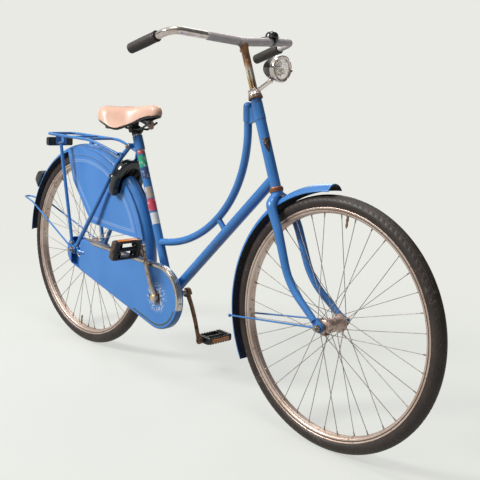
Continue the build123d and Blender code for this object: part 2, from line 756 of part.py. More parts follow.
case_body = case_block(-case_outer, -case_inner, 0, 7)
case_space = case_block(-case_outer + case_wall, -case_inner - case_wall, case_wall, 6)
with BuildPart() as chain_case:
    add(case_body.part)
    add(case_space.part, mode=Mode.SUBTRACT)
    rod(bracket_point, bracket_point - left * 80, crank_axle_radius + 6, mode=Mode.SUBTRACT)
    rod(rear_axle_point, rear_axle_point - left * (case_outer - 8), rear_barrel_radius + 5, mode=Mode.SUBTRACT)
    bent_rod([other_side(p) for p in chain_route], stay_bend, chain_stay_radius + case_room, mode=Mode.SUBTRACT)
    bent_rod([other_side(p) for p in stay_route], seat_stay_bend, seat_stay_radius + case_room, mode=Mode.SUBTRACT)
    with BuildSketch(side_plane(rear_axle_point, -case_outer + 6)) as window:
        with Locations((4, 0)):
            Rectangle(54, 150)
    extrude(window.sketch, amount=20, mode=Mode.SUBTRACT)



def case_edge(offset):
    """The outline of the chain case as a face, grown by an offset."""
    with BuildSketch(mode=Mode.PRIVATE) as outline:
        Circle(case_front_radius + offset)
        with Locations((-bracket_x, wheel_radius - bracket_height - case_tail_drop)):
            Circle(case_tail_radius + offset)
        make_hull()
    return outline.sketch


# The bright band runs along the top edge, round the front and back to just under the cranks.
with BuildPart() as case_trim:
    with BuildSketch(side_plane(bracket_point, -case_inner - 2)) as band:
        add(case_edge(gap + trim_thickness))
        add(case_edge(gap), mode=Mode.SUBTRACT)
        Polygon(
            (100 - bracket_x, 30),
            (60, -22),
            (2 * case_front_radius, -22),
            (2 * case_front_radius, 2 * case_front_radius),
            (100 - bracket_x, 2 * case_front_radius),
            align=None,
            mode=Mode.INTERSECT,
        )
    extrude(band.sketch, amount=case_outer - case_inner - 9)

# ---- cranks and pedals ----------------------------------------------------------------------
right_pedal_point = polar(bracket_point, crank_length, crank_angle)
left_pedal_point = polar(bracket_point, crank_length, crank_angle + 180)
with BuildPart() as crank_axle:
    rod(bracket_point - left * crank_outer_face, bracket_point + left * crank_outer_face, crank_axle_radius)


def make_crank(angle, near_y):
    """A crank arm with a round boss at each end, bored for the axle."""
    with BuildPart() as crank:
        eye = (crank_length * cos(radians(angle)), crank_length * sin(radians(angle)))
        with BuildSketch(side_plane(bracket_point, near_y)) as arm_outline:
            Circle(9.2)
            with Locations(eye):
                Circle(7.8)
            make_hull()
            Circle(14)
            with Locations(eye):
                Circle(11)
        extrude(arm_outline.sketch, amount=crank_outer_face - crank_inner_face)
        rod(bracket_point - left * 100, bracket_point + left * 100, crank_axle_radius + gap, mode=Mode.SUBTRACT)
    return crank


crank_right = make_crank(crank_angle, -crank_inner_face)
crank_left = make_crank(crank_angle + 180, crank_outer_face)
pedal_start = crank_outer_face + pedal_clearance
with BuildPart() as pedal_spindles:
    for side, centre in ((1, left_pedal_point), (-1, right_pedal_point)):
        base = centre + left * side * (crank_outer_face + gap)
        rod(base, centre + left * side * (pedal_start + pedal_length - 6), pedal_spindle_radius)


def make_pedal(centre, near_y, tilt):
    """A block pedal with a spindle bore and two long windows, its front edge tilted up."""
    turn = radians(tilt)
    forward = Vector(cos(turn), 0, sin(turn))
    upward = Vector(-sin(turn), 0, cos(turn))
    near = Vector(centre.X, near_y, centre.Z)
    middle = near - left * pedal_length / 2
    with BuildPart() as pedal:
        with BuildSketch(Plane(origin=near, x_dir=forward, z_dir=(0, -1, 0))) as profile:
            RectangleRounded(pedal_width, pedal_height, 6)
        extrude(profile.sketch, amount=pedal_length)
        rod(near + left, near - left * (pedal_length + 1), pedal_spindle_radius + 0.6, mode=Mode.SUBTRACT)
        with BuildSketch(Plane(origin=middle - upward * pedal_height, x_dir=left, z_dir=upward)) as windows:
            with GridLocations(0, 36, 1, 2):
                SlotOverall(pedal_length - 26, 15)
        extrude(windows.sketch, amount=2 * pedal_height, mode=Mode.SUBTRACT)
    return pedal


pedal_right = make_pedal(right_pedal_point, -pedal_start, right_pedal_tilt)
pedal_left = make_pedal(left_pedal_point, pedal_start + pedal_length, 0)

# ---- luggage rack ---------------------------------------------------------------------------
# The rails bend down to flat tabs on the outer sides of the seat stays.
tab_share = 0.45
tab_point = stay_knee + (stay_head - stay_knee) * tab_share
stay_lean = (stay_knee.Y - stay_head.Y) / (stay_knee - stay_head).length
tab_face = tab_point.Y + seat_stay_radius + 9 * stay_lean + gap + 0.4
rail_end = Vector(tab_point.X, tab_face + rack_tube_radius, tab_point.Z)
rack_knee = at(rack_bend_x, rack_half_width, rack_height)
rack_corner = at(rack_rear_x, rack_half_width, rack_height)
rack_run = (rail_end - rack_knee).length
rack_bend = bend_from(rack_corner, rack_knee, rail_end, 0.22 * rack_run)
rail_stop = rail_end + (rack_knee - rail_end) * (7 / rack_run)
rack_route = [rail_stop, rack_knee, rack_corner, other_side(rack_corner), other_side(rack_knee), other_side(rail_stop)]
plate_point = at(rack_plate_x, 0, rack_height)
with BuildPart() as luggage_rack:
    bent_rod(rack_route, [rack_bend, 25, 25, rack_bend], rack_tube_radius)
    for x in rack_bar_places:
        rod(at(x, -rack_half_width, rack_height), at(x, rack_half_width, rack_height), rack_bar_radius)
    for side in (-1, 1):
        outer = max(side * tab_face, side * (tab_face + plate_thickness))
        with BuildSketch(side_plane(tab_point, outer)) as tab:
            Circle(9)
            with Locations((rail_stop.X - tab_point.X, rail_stop.Z - tab_point.Z)):
                Circle(5)
            make_hull()
            Circle(3, mode=Mode.SUBTRACT)
        extrude(tab.sketch, amount=plate_thickness)
        outer = side * rack_half_width + plate_thickness / 2
        with BuildSketch(side_plane(plate_point, outer)) as stay_plate:
            with Locations((0, -17)):
                RectangleRounded(16, 34, 5)
        extrude(stay_plate.sketch, amount=plate_thickness)
    back_plane = Plane(origin=at(rack_rear_x, 0, rack_height), x_dir=(0, 1, 0), z_dir=(1, 0, 0))
    with BuildSketch(back_plane) as back_plate:
        with Locations((0, -21)):
            Rectangle(46, 42)
    extrude(back_plate.sketch, amount=plate_thickness)
    bent_rod(stay_route, seat_stay_bend, seat_stay_radius + gap, mode=Mode.SUBTRACT)
    bent_rod([other_side(p) for p in stay_route], seat_stay_bend, seat_stay_radius + gap, mode=Mode.SUBTRACT)

# The stays hang from the plates outside, with flattened ends, down to the eyelets.
eye_face = rear_side + dropout_thickness + gap
eyelet_point = rear_axle_point + Vector(eyelet[0], 0, eyelet[1])
plate_face = rack_half_width + plate_thickness / 2 + gap
stay_hole = plate_point - Vector(0, 0, 27)
rack_stay_head = stay_hole + left * (plate_face + rack_stay_radius)
rack_stay_foot = eyelet_point + left * (eye_face + 1) + Vector(-1, 0, 4)
with BuildPart() as rack_stays:
    rod(rack_stay_foot, rack_stay_head, rack_stay_radius)
    rod(stay_hole + left * plate_face, stay_hole + left * (plate_face + plate_thickness), 7)
    rod(eyelet_point + left * eye_face, eyelet_point + left * (eye_face + eye_thickness), 7.5)
    rod(rear_axle_point, rear_axle_point + left * eye_face, 40, mode=Mode.SUBTRACT)
    rod(eyelet_point + left * (eye_face + eye_thickness), eyelet_point + left * 90, 9, mode=Mode.SUBTRACT)
    mirror(about=Plane.XZ)

with BuildPart() as rack_reflector:
    with BuildSketch(Plane(origin=at(rack_rear_x - gap, 0, rack_height - 30.5), z_dir=(-1, 0, 0))) as box_face:
        RectangleRounded(reflector_height, reflector_width, 6)
    extrude(box_face.sketch, amount=reflector_depth)
    fillet(rack_reflector.faces().sort_by(Axis.X)[0].edges(), radius=3)

# The tail lamp is a wedge on the fender's crown with an upright rear face.
lamp_span = degrees(tail_lamp_length / fender_radius)
tail_angle = 146.0
crown = fender_radius + gap
wedge_low = polar(rear_axle_point, crown, tail_angle + lamp_span / 2)
wedge_middle = polar(rear_axle_point, crown, tail_angle)
wedge_high = polar(rear_axle_point, crown, tail_angle - lamp_span / 2)
wedge_back = polar(rear_axle_point, crown + tail_lamp_depth, tail_angle + 1.2)
wedge_top = polar(rear_axle_point, crown + 0.86 * tail_lamp_depth, tail_angle - 3.6)
with BuildPart() as tail_lamp:
    with BuildSketch(side_plane(rear_axle_point, tail_lamp_width / 2)) as wedge:
        corners = [
            (p.X - rear_axle_point.X, p.Z - rear_axle_point.Z)
            for p in (wedge_low, wedge_middle, wedge_high, wedge_top, wedge_back)
        ]
        with BuildLine():
            ThreePointArc(*corners[:3])
            Polyline(*corners[2:], corners[0])
        make_face()
    extrude(wedge.sketch, amount=tail_lamp_width)
    fillet(tail_lamp.edges().filter_by(Axis.Y).sort_by(Axis.X)[:2], radius=9)

# The wire loop runs from the axle along the fender's sides to its tip behind the wheel.
loop_eye = eye_face + eye_thickness + gap
loop_side = fender_half_width + gap + loop_radius
loop_bend = at(-345, loop_side, wheel_radius + 122)
loop_tip = at(-440, 12, wheel_radius + 131)
loop_dir = Vector(loop_bend.X - rear_axle_point.X, 0, loop_bend.Z - rear_axle_point.Z).normalized()
loop_foot = rear_axle_point + loop_dir * 13 + left * (loop_eye + eye_thickness / 2)
loop_route = [loop_foot, loop_bend, loop_tip]
loop_route += [other_side(p) for p in reversed(loop_route)]
with BuildPart() as fender_loop:
    bent_rod(loop_route, [40, 10, 10, 40], loop_radius)
    for side in (-1, 1):
        rod(rear_axle_point + left * side * loop_eye, rear_axle_point + left * side * (loop_eye + eye_thickness), 14)
    rod(rear_axle_point - left * 90, rear_axle_point + left * 90, axle_radius + gap, mode=Mode.SUBTRACT)
    for side in (-1, 1):
        outer_face = rear_axle_point + left * side * (loop_eye + eye_thickness)
        rod(outer_face, outer_face + left * side * 20, nut_radius + 1.5, mode=Mode.SUBTRACT)

front_eye = tip_side + dropout_thickness / 2 + gap
front_stay_dir = (polar(front_axle_point, fender_radius, 189) - front_axle_point).normalized()
front_stay_head = polar(front_axle_point, fender_radius - fender_depth + 6, 189)
with BuildPart() as front_fender_stays:
    for side in (-1, 1):
        eye = front_axle_point + left * side * front_eye
        foot = eye + front_stay_dir * 12 + left * side * eye_thickness / 2
        rod(foot, front_stay_head + left * side * (fender_half_width + 2.9), 2.6)
        rod(eye, eye + left * side * eye_thickness, 13)
        rod(front_axle_point, eye, 26, mode=Mode.SUBTRACT)
        rod(eye + left * side * eye_thickness, eye + left * side * 20, nut_radius + 1.5, mode=Mode.SUBTRACT)
    rod(front_axle_point - left * 90, front_axle_point + left * 90, axle_radius + gap, mode=Mode.SUBTRACT)

# ---- ring lock ------------------------------------------------------------------------------
# A horseshoe across the wheel in front of the seat stays, with a block on each side that
# clamps it to the stay.
lock_mouth = fender_half_width + gap + guard_wall + 2.8
lock_down = Vector(-0.3489, 0, -0.9372)
lock_front = Vector(0.9372, 0, -0.3489)
lock_centre = stay_knee - left * stay_knee.Y + lock_front * (lock_thickness / 2 + 12.5) - lock_down * 6
lock_plane = Plane(origin=lock_centre, x_dir=left, z_dir=lock_front)
lock_block = where_reach(stay_knee, stay_foot, rear_axle_point, fender_radius + 12)
lobe_place = lock_half_width - 15.5
with BuildPart() as ring_lock:
    with BuildSketch(lock_plane.offset(-lock_thickness / 2)) as horseshoe:
        with Locations((-24, 8), (24, 8)):
            Circle(18)
        with Locations((-lobe_place, -52), (lobe_place, -52), (-lobe_place, -102), (lobe_place, -102)):
            Circle(15.5)
        make_hull()
        with BuildSketch(mode=Mode.PRIVATE) as mouth:
            with Locations((0, -18 - lock_mouth), (0, -160)):
                Circle(lock_mouth)
            make_hull()
        add(mouth.sketch, mode=Mode.SUBTRACT)
    extrude(horseshoe.sketch, amount=lock_thickness)
    for side in (-1, 1):
        block_end = Vector(lock_block.X, side * (lock_block.Y + 1), lock_block.Z)
        rod(block_end, block_end + lock_front * 26, 9)
    bent_rod(stay_route, seat_stay_bend, seat_stay_radius + gap, mode=Mode.SUBTRACT)
    bent_rod([other_side(p) for p in stay_route], seat_stay_bend, seat_stay_radius + gap, mode=Mode.SUBTRACT)
    rod(other_side(seat_bridge_end), seat_bridge_end, stay_bridge_radius + gap, mode=Mode.SUBTRACT)

pieces = {
    name: piece
    for name, piece in list(globals().items())
    if isinstance(piece, BuildPart) and name not in ("case_body", "case_space")
}
os.makedirs("parts", exist_ok=True)
for name, piece in pieces.items():
    piece.part.label = name
    export_step(piece.part, f"parts/{name}.step")
    box = piece.part.bounding_box()
    print(name, len(piece.part.solids()), round(piece.part.volume), box.min, box.max)
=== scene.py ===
# %% [markdown]
# # A step-through roadster bicycle
# The bicycle arrives as a imported model of plain parts that already has every real size. This
# script dresses it: finer shapes where the plain ones are too simple, and a finish for every
# surface. The first cell loads the model.

# %% Load the imported bicycle
import json
import math

import bmesh
import bpy
import numpy as np
from mathutils import Matrix, Vector


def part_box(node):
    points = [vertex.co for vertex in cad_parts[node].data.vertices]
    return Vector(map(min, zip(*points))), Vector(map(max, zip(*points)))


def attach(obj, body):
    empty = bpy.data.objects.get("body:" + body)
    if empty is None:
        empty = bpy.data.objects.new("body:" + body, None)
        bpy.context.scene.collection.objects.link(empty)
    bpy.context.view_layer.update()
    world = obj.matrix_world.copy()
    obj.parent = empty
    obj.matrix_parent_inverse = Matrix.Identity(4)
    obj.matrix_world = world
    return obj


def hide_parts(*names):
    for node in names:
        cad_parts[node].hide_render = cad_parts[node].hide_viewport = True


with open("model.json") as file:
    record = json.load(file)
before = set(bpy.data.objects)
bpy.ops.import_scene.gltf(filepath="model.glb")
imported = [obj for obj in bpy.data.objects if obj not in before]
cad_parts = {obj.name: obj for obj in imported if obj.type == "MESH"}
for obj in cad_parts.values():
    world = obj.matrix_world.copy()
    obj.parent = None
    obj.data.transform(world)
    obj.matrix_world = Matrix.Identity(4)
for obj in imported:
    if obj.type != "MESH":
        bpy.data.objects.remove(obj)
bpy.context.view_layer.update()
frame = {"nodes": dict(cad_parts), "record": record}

nodes = frame["nodes"]

# %% [markdown]
# Nearly everything on a bicycle is placed from its two axles, its crank and its steering axis.
# They are read from the boxes of the parts and from the joints, so that most of what is drawn
# here follows when a size in the model changes.

# %% Places read from the model
MM = 0.001


def box_centre(node):
    """The middle of a part's box as an array."""
    low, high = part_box(node)
    return (np.array(low) + np.array(high)) / 2


def box_size(node):
    """The three sides of a part's box as an array."""
    low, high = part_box(node)
    return np.array(high) - np.array(low)


rear_axle = box_centre("rear_tyre")
front_axle = box_centre("front_tyre")
axles = {"rear": rear_axle, "front": front_axle}
crank_centre = box_centre("crank_axle")
crank_middle = crank_centre * (1, 0, 1)
leftward = np.array([0, 1.0, 0])
wheel_radius = box_size("rear_tyre")[2] / 2
tyre_half_width = box_size("rear_tyre")[1] / 2
road = rear_axle[2] - wheel_radius
joints = {joint["name"]: joint for joint in frame["record"]["behaviour"]["joints"]}
steering = joints["steering"]
head_foot = np.array(steering["pos_m"])
steer_up = np.array(steering["axis"]) / np.linalg.norm(steering["axis"])
steer_forward = np.array([steer_up[2], 0.0, -steer_up[0]])


def wheel_way(degrees):
    """The direction that rises by an angle from straight ahead, in the plane of the wheels."""
    return np.array([math.cos(math.radians(degrees)), 0, math.sin(math.radians(degrees))])


def place(x, y, z):
    """A point in millimetres ahead of the rear axle, to the left and above the road, in metres."""
    return np.array([rear_axle[0] + x * MM, y * MM, road + z * MM])


def steer_place(up, forward=0.0, y=0.0):
    """A point in millimetres along and ahead of the steering axis, from the foot of the head tube."""
    return head_foot + (steer_up * up + steer_forward * forward + leftward * y) * MM


print("wheelbase", round(float(front_axle[0] - rear_axle[0]), 4), "wheel radius", round(wheel_radius, 4))

# %% [markdown]
# ## Finishes
# A finish is a small network of shader nodes. All of them read Object coordinates, which are the
# real metres of the bicycle, so one grain size is right on every part. The helper below makes
# most of them: a main colour that drifts slowly, specks of rust, dirt or chips where a second
# noise passes a threshold, and a fine grain that drives both roughness and bump.

# %% Helpers for shader nodes


def new_material(name):
    """An empty material, with its node tree, its Principled shader and its Object coordinates."""
    material = bpy.data.materials.new(name)
    material.use_nodes = True
    tree = material.node_tree
    shader = tree.nodes["Principled BSDF"]
    spot = tree.nodes.new("ShaderNodeTexCoord").outputs["Object"]
    return material, tree, shader, spot


def link(tree, source, target):
    """Joins an output to an input, or sets the input where the source is a plain value."""
    if isinstance(source, bpy.types.NodeSocket):
        tree.links.new(source, target)
    elif isinstance(source, (tuple, list)) and len(source) == 3 and target.type == "RGBA":
        target.default_value = (*source, 1.0)
    else:
        target.default_value = source


def noise(tree, spot, scale, detail=4.0, rough=0.55):
    """A noise pattern with scale bumps per metre."""
    node = tree.nodes.new("ShaderNodeTexNoise")
    node.inputs["Scale"].default_value = scale
    node.inputs["Detail"].default_value = detail
    node.inputs["Roughness"].default_value = rough
    tree.links.new(spot, node.inputs["Vector"])
    return node.outputs["Fac"]


def step(tree, value, low, high, to_low=0.0, to_high=1.0):
    """Maps value smoothly from low..high to to_low..to_high."""
    node = tree.nodes.new("ShaderNodeMapRange")
    node.interpolation_type = "SMOOTHSTEP"
    link(tree, value, node.inputs["Value"])
    node.inputs["From Min"].default_value = low
    node.inputs["From Max"].default_value = high
    node.inputs["To Min"].default_value = to_low
    node.inputs["To Max"].default_value = to_high
    return node.outputs["Result"]


def maths(tree, kind, a, b=0.0, c=0.0):
    """One sum, product or comparison of values."""
    node = tree.nodes.new("ShaderNodeMath")
    node.operation = kind
    for socket, value in zip(node.inputs, (a, b, c)):
        link(tree, value, socket)
    return node.outputs["Value"]


def mix(tree, amount, first, second):
    """The first colour, going over to the second as amount goes from 0 to 1."""
    node = tree.nodes.new("ShaderNodeMix")
    node.data_type = "RGBA"
    link(tree, amount, node.inputs[0])
    link(tree, first, node.inputs[6])
    link(tree, second, node.inputs[7])
    return node.outputs[2]


def mix_value(tree, amount, first, second):
    """The first value, going over to the second as amount goes from 0 to 1."""
    node = tree.nodes.new("ShaderNodeMix")
    node.data_type = "FLOAT"
    link(tree, amount, node.inputs[0])
    link(tree, first, node.inputs[2])
    link(tree, second, node.inputs[3])
    return node.outputs[0]


def distance(tree, spot, centre, share=(1.0, 1.0, 1.0)):
    """How far each place is from a centre, in metres, with only a share of each axis counted."""
    shift = tree.nodes.new("ShaderNodeMapping")
    shift.inputs["Scale"].default_value = share
    shift.inputs["Location"].default_value = [-c * part for c, part in zip(centre, share)]
    tree.links.new(spot, shift.inputs["Vector"])
    length = tree.nodes.new("ShaderNodeVectorMath")
    length.operation = "LENGTH"
    tree.links.new(shift.outputs["Vector"], length.inputs[0])
    return length.outputs["Value"]


def bump(tree, height, shader, depth, strength=1.0):
    """Roughens a shader's normal by a height pattern, depth metres deep."""
    node = tree.nodes.new("ShaderNodeBump")
    node.inputs["Strength"].default_value = strength
    node.inputs["Distance"].default_value = depth
    tree.links.new(height, node.inputs["Height"])
    tree.links.new(node.outputs["Normal"], shader.inputs["Normal"])


def clear_coat(shader, weight):
    """A thin layer of lacquer over a finish, at one fixed gloss."""
    shader.inputs["Coat Weight"].default_value = weight
    shader.inputs["Coat Roughness"].default_value = 0.12


def weathered(name, colour, drift, speck, cover=0.35, metal=0.0, rough=(0.3, 0.5), coat=0.0,
              grain=420.0, depth=0.00012, patch=9.0, speck_size=110.0, speck_rough=0.75):
    """A worn finish: colour drifting to drift, with specks over a share of it set by cover."""
    material, tree, shader, spot = new_material(name)
    slow = step(tree, noise(tree, spot, patch, 3.0), 0.35, 0.68)
    specks = noise(tree, spot, speck_size, 6.0, 0.62)
    where = maths(tree, "ADD", specks, maths(tree, "MULTIPLY", noise(tree, spot, 17.0, 2.0), 0.35))
    mask = step(tree, where, 0.86 - 0.3 * cover, 0.93 - 0.3 * cover)
    fine = noise(tree, spot, grain, 3.0)
    link(tree, mix(tree, mask, mix(tree, slow, colour, drift), speck), shader.inputs["Base Color"])
    worn = step(tree, fine, 0.3, 0.75, rough[0], rough[1])
    link(tree, mix_value(tree, mask, worn, speck_rough), shader.inputs["Roughness"])
    if metal:
        link(tree, mix_value(tree, mask, metal, 0.15 * metal), shader.inputs["Metallic"])
    clear_coat(shader, coat)
    height = maths(tree, "ADD", fine, maths(tree, "MULTIPLY", mask, 0.8))
    bump(tree, height, shader, depth, 0.6)
    return material


print("made the helpers for finishes")

# %% [markdown]
# The paint is two blues: a darker satin one on the tubes and fenders, a lighter one on the
# pressed panels. Chrome, plain steel and rust are the same network with other colours, because
# worn metal differs mostly in how much of it is speckled and how rough it is.

# %% Paint and metal finishes
frame_blue = (0.042, 0.205, 0.54)
panel_blue = (0.080, 0.275, 0.68)
deep_panel_blue = (0.062, 0.24, 0.63)
chip_brown = (0.16, 0.085, 0.045)
finish = {}
finish["paint"] = weathered(
    "satin_blue_paint", frame_blue, (0.052, 0.235, 0.60), chip_brown, cover=0.08, rough=(0.26, 0.38),
    coat=0.3, depth=0.00005)
finish["panel"] = weathered(
    "panel_blue_paint", panel_blue, deep_panel_blue, (0.10, 0.16, 0.28), cover=0.06,
    rough=(0.3, 0.45), coat=0.15, depth=0.00005)
finish["chrome"] = weathered(
    "bright_chrome", (0.78, 0.70, 0.67), (0.64, 0.56, 0.53), (0.30, 0.20, 0.14), cover=0.25,
    metal=1.0, rough=(0.10, 0.24), depth=0.00004)
finish["dull chrome"] = weathered(
    "rusty_rim_chrome", (0.72, 0.58, 0.50), (0.58, 0.43, 0.35), (0.30, 0.18, 0.12), cover=0.28,
    metal=0.8, rough=(0.36, 0.5), depth=0.000005)
finish["steel"] = weathered(
    "dull_steel", (0.44, 0.40, 0.36), (0.30, 0.25, 0.21), (0.20, 0.11, 0.06), cover=0.45,
    metal=1.0, rough=(0.3, 0.5), depth=0.00008)
finish["rust"] = weathered(
    "brown_rust", (0.26, 0.12, 0.05), (0.38, 0.21, 0.10), (0.12, 0.055, 0.03), cover=0.6,
    metal=0.35, rough=(0.5, 0.75), depth=0.0002)
finish["spoke"] = weathered(
    "spoke_wire", (0.44, 0.39, 0.36), (0.34, 0.28, 0.25), (0.24, 0.15, 0.10), cover=0.3,
    metal=0.35, rough=(0.5, 0.62), depth=0.000005)
finish["valve"] = weathered(
    "valve_brass", (0.42, 0.30, 0.20), (0.30, 0.19, 0.12), (0.05, 0.035, 0.03), cover=0.5,
    metal=0.8, rough=(0.35, 0.55), depth=0.00005)
finish["copper rust"] = weathered(
    "copper_rust", (0.42, 0.17, 0.07), (0.30, 0.11, 0.05), (0.14, 0.06, 0.035), cover=0.5,
    metal=0.7, rough=(0.35, 0.6), depth=0.00012)
finish["brown chrome"] = weathered(
    "brown_edged_chrome", (0.62, 0.56, 0.50), (0.30, 0.17, 0.09), (0.16, 0.075, 0.04), cover=0.6,
    metal=0.9, rough=(0.2, 0.45), depth=0.0001, patch=60.0)
finish["crank metal"] = weathered(
    "worn_crank_metal", (0.74, 0.66, 0.58), (0.50, 0.38, 0.28), (0.24, 0.13, 0.07), cover=0.45,
    metal=0.9, rough=(0.25, 0.45), depth=0.0001, patch=30.0)
finish["pale brass"] = weathered(
    "pale_brass", (0.82, 0.68, 0.42), (0.66, 0.48, 0.26), (0.30, 0.17, 0.08), cover=0.3,
    metal=0.8, rough=(0.25, 0.45), depth=0.00006, patch=60.0)
finish["dish"] = weathered(
    "bright_dish", (0.90, 0.84, 0.82), (0.80, 0.72, 0.70), (0.42, 0.34, 0.30), cover=0.45,
    metal=0.9, rough=(0.1, 0.22), depth=0.0001, patch=90.0, speck_size=200.0)
finish["bare metal"] = weathered(
    "bare_browned_metal", (0.030, 0.020, 0.014), (0.080, 0.045, 0.028), (0.50, 0.42, 0.36), cover=0.45,
    metal=0.2, rough=(0.4, 0.6), depth=0.00015, patch=60.0, speck_size=130.0)
finish["band"] = weathered(
    "case_band_chrome", (0.66, 0.62, 0.58), (0.46, 0.38, 0.32), (0.25, 0.15, 0.10), cover=0.35,
    metal=1.0, rough=(0.14, 0.3), depth=0.00006)
print("made", len(finish), "finishes of paint and metal")

# %% [markdown]
# Plastic, rubber and vinyl have no metal in them and catch dust instead of rust. The tyres are a
# very dark brown and matt, the saddle a pale peach with a faint gloss. The lenses are coloured
# plastic with a coat, because nothing is seen through them.

# %% Plastic, rubber and vinyl finishes
finish["black"] = weathered(
    "black_plastic", (0.018, 0.018, 0.019), (0.03, 0.029, 0.028), (0.10, 0.09, 0.08), cover=0.08,
    rough=(0.28, 0.45), depth=0.00008)
finish["rubber"] = weathered(
    "tyre_rubber", (0.022, 0.0125, 0.009), (0.038, 0.025, 0.019), (0.11, 0.083, 0.065), cover=0.2,
    rough=(0.42, 0.62), depth=0.00015, patch=22.0, speck_size=90.0)
finish["grip"] = weathered(
    "grip_rubber", (0.023, 0.016, 0.014), (0.034, 0.025, 0.022), (0.13, 0.10, 0.09), cover=0.12,
    rough=(0.42, 0.6), depth=0.0001)
finish["vinyl"] = weathered(
    "peach_vinyl", (0.84, 0.52, 0.38), (0.80, 0.46, 0.33), (0.68, 0.38, 0.26), cover=0.04,
    rough=(0.36, 0.48), coat=0.1, depth=0.00004)
# The inside of a fender: a dark navy that is painted shade, drifting to brown road dirt, with dirt specks.
finish["underside"] = weathered(
    "fender_inside_shade_and_dirt", (0.02, 0.035, 0.085), (0.035, 0.03, 0.028), (0.11, 0.085, 0.06), cover=0.4,
    rough=(0.6, 0.85), depth=0.0002)
# A dark seam colour, which also paints the shade along the inside of the case's lip.
finish["seam"] = weathered(
    "case_seam", (0.10, 0.12, 0.06), (0.06, 0.07, 0.05), (0.2, 0.15, 0.08), cover=0.4, rough=(0.6, 0.8))
# Painted shade for the groove under the rim's bead: a dark brown.
finish["groove"] = weathered(
    "rim_groove_painted_shade", (0.050, 0.030, 0.020), (0.09, 0.055, 0.038), (0.20, 0.13, 0.09), cover=0.2,
    rough=(0.5, 0.7))
finish["gloss black"] = weathered(
    "gloss_black", (0.009, 0.009, 0.010), (0.014, 0.014, 0.014), (0.06, 0.055, 0.05), cover=0.03,
    rough=(0.1, 0.2), coat=0.4, depth=0.00003)
finish["bulb"] = weathered(
    "pale_bulb", (0.86, 0.84, 0.74), (0.8, 0.78, 0.7), (0.6, 0.58, 0.5), cover=0.05,
    rough=(0.1, 0.2), coat=0.3)
finish["red"] = weathered(
    "red_lens", (0.62, 0.03, 0.03), (0.5, 0.02, 0.02), (0.3, 0.03, 0.03), cover=0.1,
    rough=(0.12, 0.25), coat=0.4)
finish["amber"] = weathered(
    "amber_lens", (0.85, 0.25, 0.025), (0.72, 0.17, 0.02), (0.4, 0.12, 0.03), cover=0.12,
    rough=(0.15, 0.3), coat=0.4)
finish["brown cap"] = weathered(
    "brown_cap", (0.075, 0.042, 0.026), (0.12, 0.065, 0.035), (0.2, 0.12, 0.07), cover=0.25,
    rough=(0.3, 0.5))
print("made", len(finish), "finishes so far")

# %% [markdown]
# Six plain coloured patches sit on the seat tube. They share one recipe: the colour, a slightly
# duller one that it drifts to, and random pale flecks where the surface has worn. A white patch
# would hide pale flecks, so its flecks are a soft blue.

# %% Finishes of the coloured patches
patch_colours = {"red": (0.62, 0.10, 0.10), "green": (0.03, 0.42, 0.20), "navy": (0.03, 0.07, 0.22),
                 "tan": (0.52, 0.42, 0.33), "crimson": (0.70, 0.06, 0.09), "white": (0.80, 0.80, 0.78)}
for colour, shade in patch_colours.items():
    flecks = tuple(0.45 + 0.5 * v for v in shade) if colour != "white" else (0.45, 0.5, 0.62)
    finish["patch " + colour] = weathered(
        "patch_" + colour, shade, tuple(0.85 * v + 0.05 for v in shade), flecks, cover=0.5,
        rough=(0.25, 0.4), coat=0.2, depth=0.00003, speck_size=70.0)
print("made", len(patch_colours), "patch colours")

# %% [markdown]
# The headlamp's lens is clear, with a little haze where it is scratched. Light really passes
# through it, so that the bright dish and the bulbs behind it are seen.

# %% Clear plastic


def clear_plastic():
    """Clear plastic: light passes, with faint haze where the wear is."""
    material, tree, shader, spot = new_material("clear_lens")
    haze = step(tree, noise(tree, spot, 160.0, 4.0), 0.4, 0.8)
    link(tree, mix(tree, haze, (0.96, 0.97, 0.97), (0.86, 0.87, 0.86)), shader.inputs["Base Color"])
    link(tree, maths(tree, "MULTIPLY", haze, 0.12), shader.inputs["Roughness"])
    shader.inputs["Transmission Weight"].default_value = 1.0
    shader.inputs["IOR"].default_value = 1.3
    bump(tree, haze, shader, 0.00002, 0.3)
    return material


finish["clear"] = clear_plastic()
print("made", finish["clear"].name)

# %% [markdown]
# The handlebar's pale sleeve and the rusty stem each change their look along their length. Two
# materials with a hard border would show a cut, so one material reads how far along a direction
# a place lies and goes smoothly from one look to the other.

# %% Metal with two looks


def two_tone(name, way, low, high, first, second, metal, rough):
    """Worn metal that goes from one look to another between two places along way: each look is a
    base, a drift and a speck colour, and the share of the second one is a smooth step."""
    material, tree, shader, spot = new_material(name)
    along = tree.nodes.new("ShaderNodeVectorMath")
    along.operation = "DOT_PRODUCT"
    tree.links.new(spot, along.inputs[0])
    along.inputs[1].default_value = way
    blur = maths(tree, "MULTIPLY", noise(tree, spot, 60.0, 4.0), 0.012)
    share = step(tree, maths(tree, "ADD", along.outputs["Value"], blur), low, high)
    slow = step(tree, noise(tree, spot, 38.0, 4.0), 0.36, 0.66)
    specks = step(tree, noise(tree, spot, 150.0, 6.0, 0.62), 0.60, 0.66)
    looks = [mix(tree, specks, mix(tree, slow, look[0], look[1]), look[2]) for look in (first, second)]
    link(tree, mix(tree, share, *looks), shader.inputs["Base Color"])
    link(tree, mix_value(tree, share, *metal), shader.inputs["Metallic"])
    fine = noise(tree, spot, 420.0, 3.0)
    worn = mix_value(tree, share, *rough)
    link(tree, maths(tree, "ADD", worn, maths(tree, "MULTIPLY", fine, 0.1)), shader.inputs["Roughness"])
    bump(tree, maths(tree, "ADD", fine, specks), shader, 0.00006, 0.6)
    return material


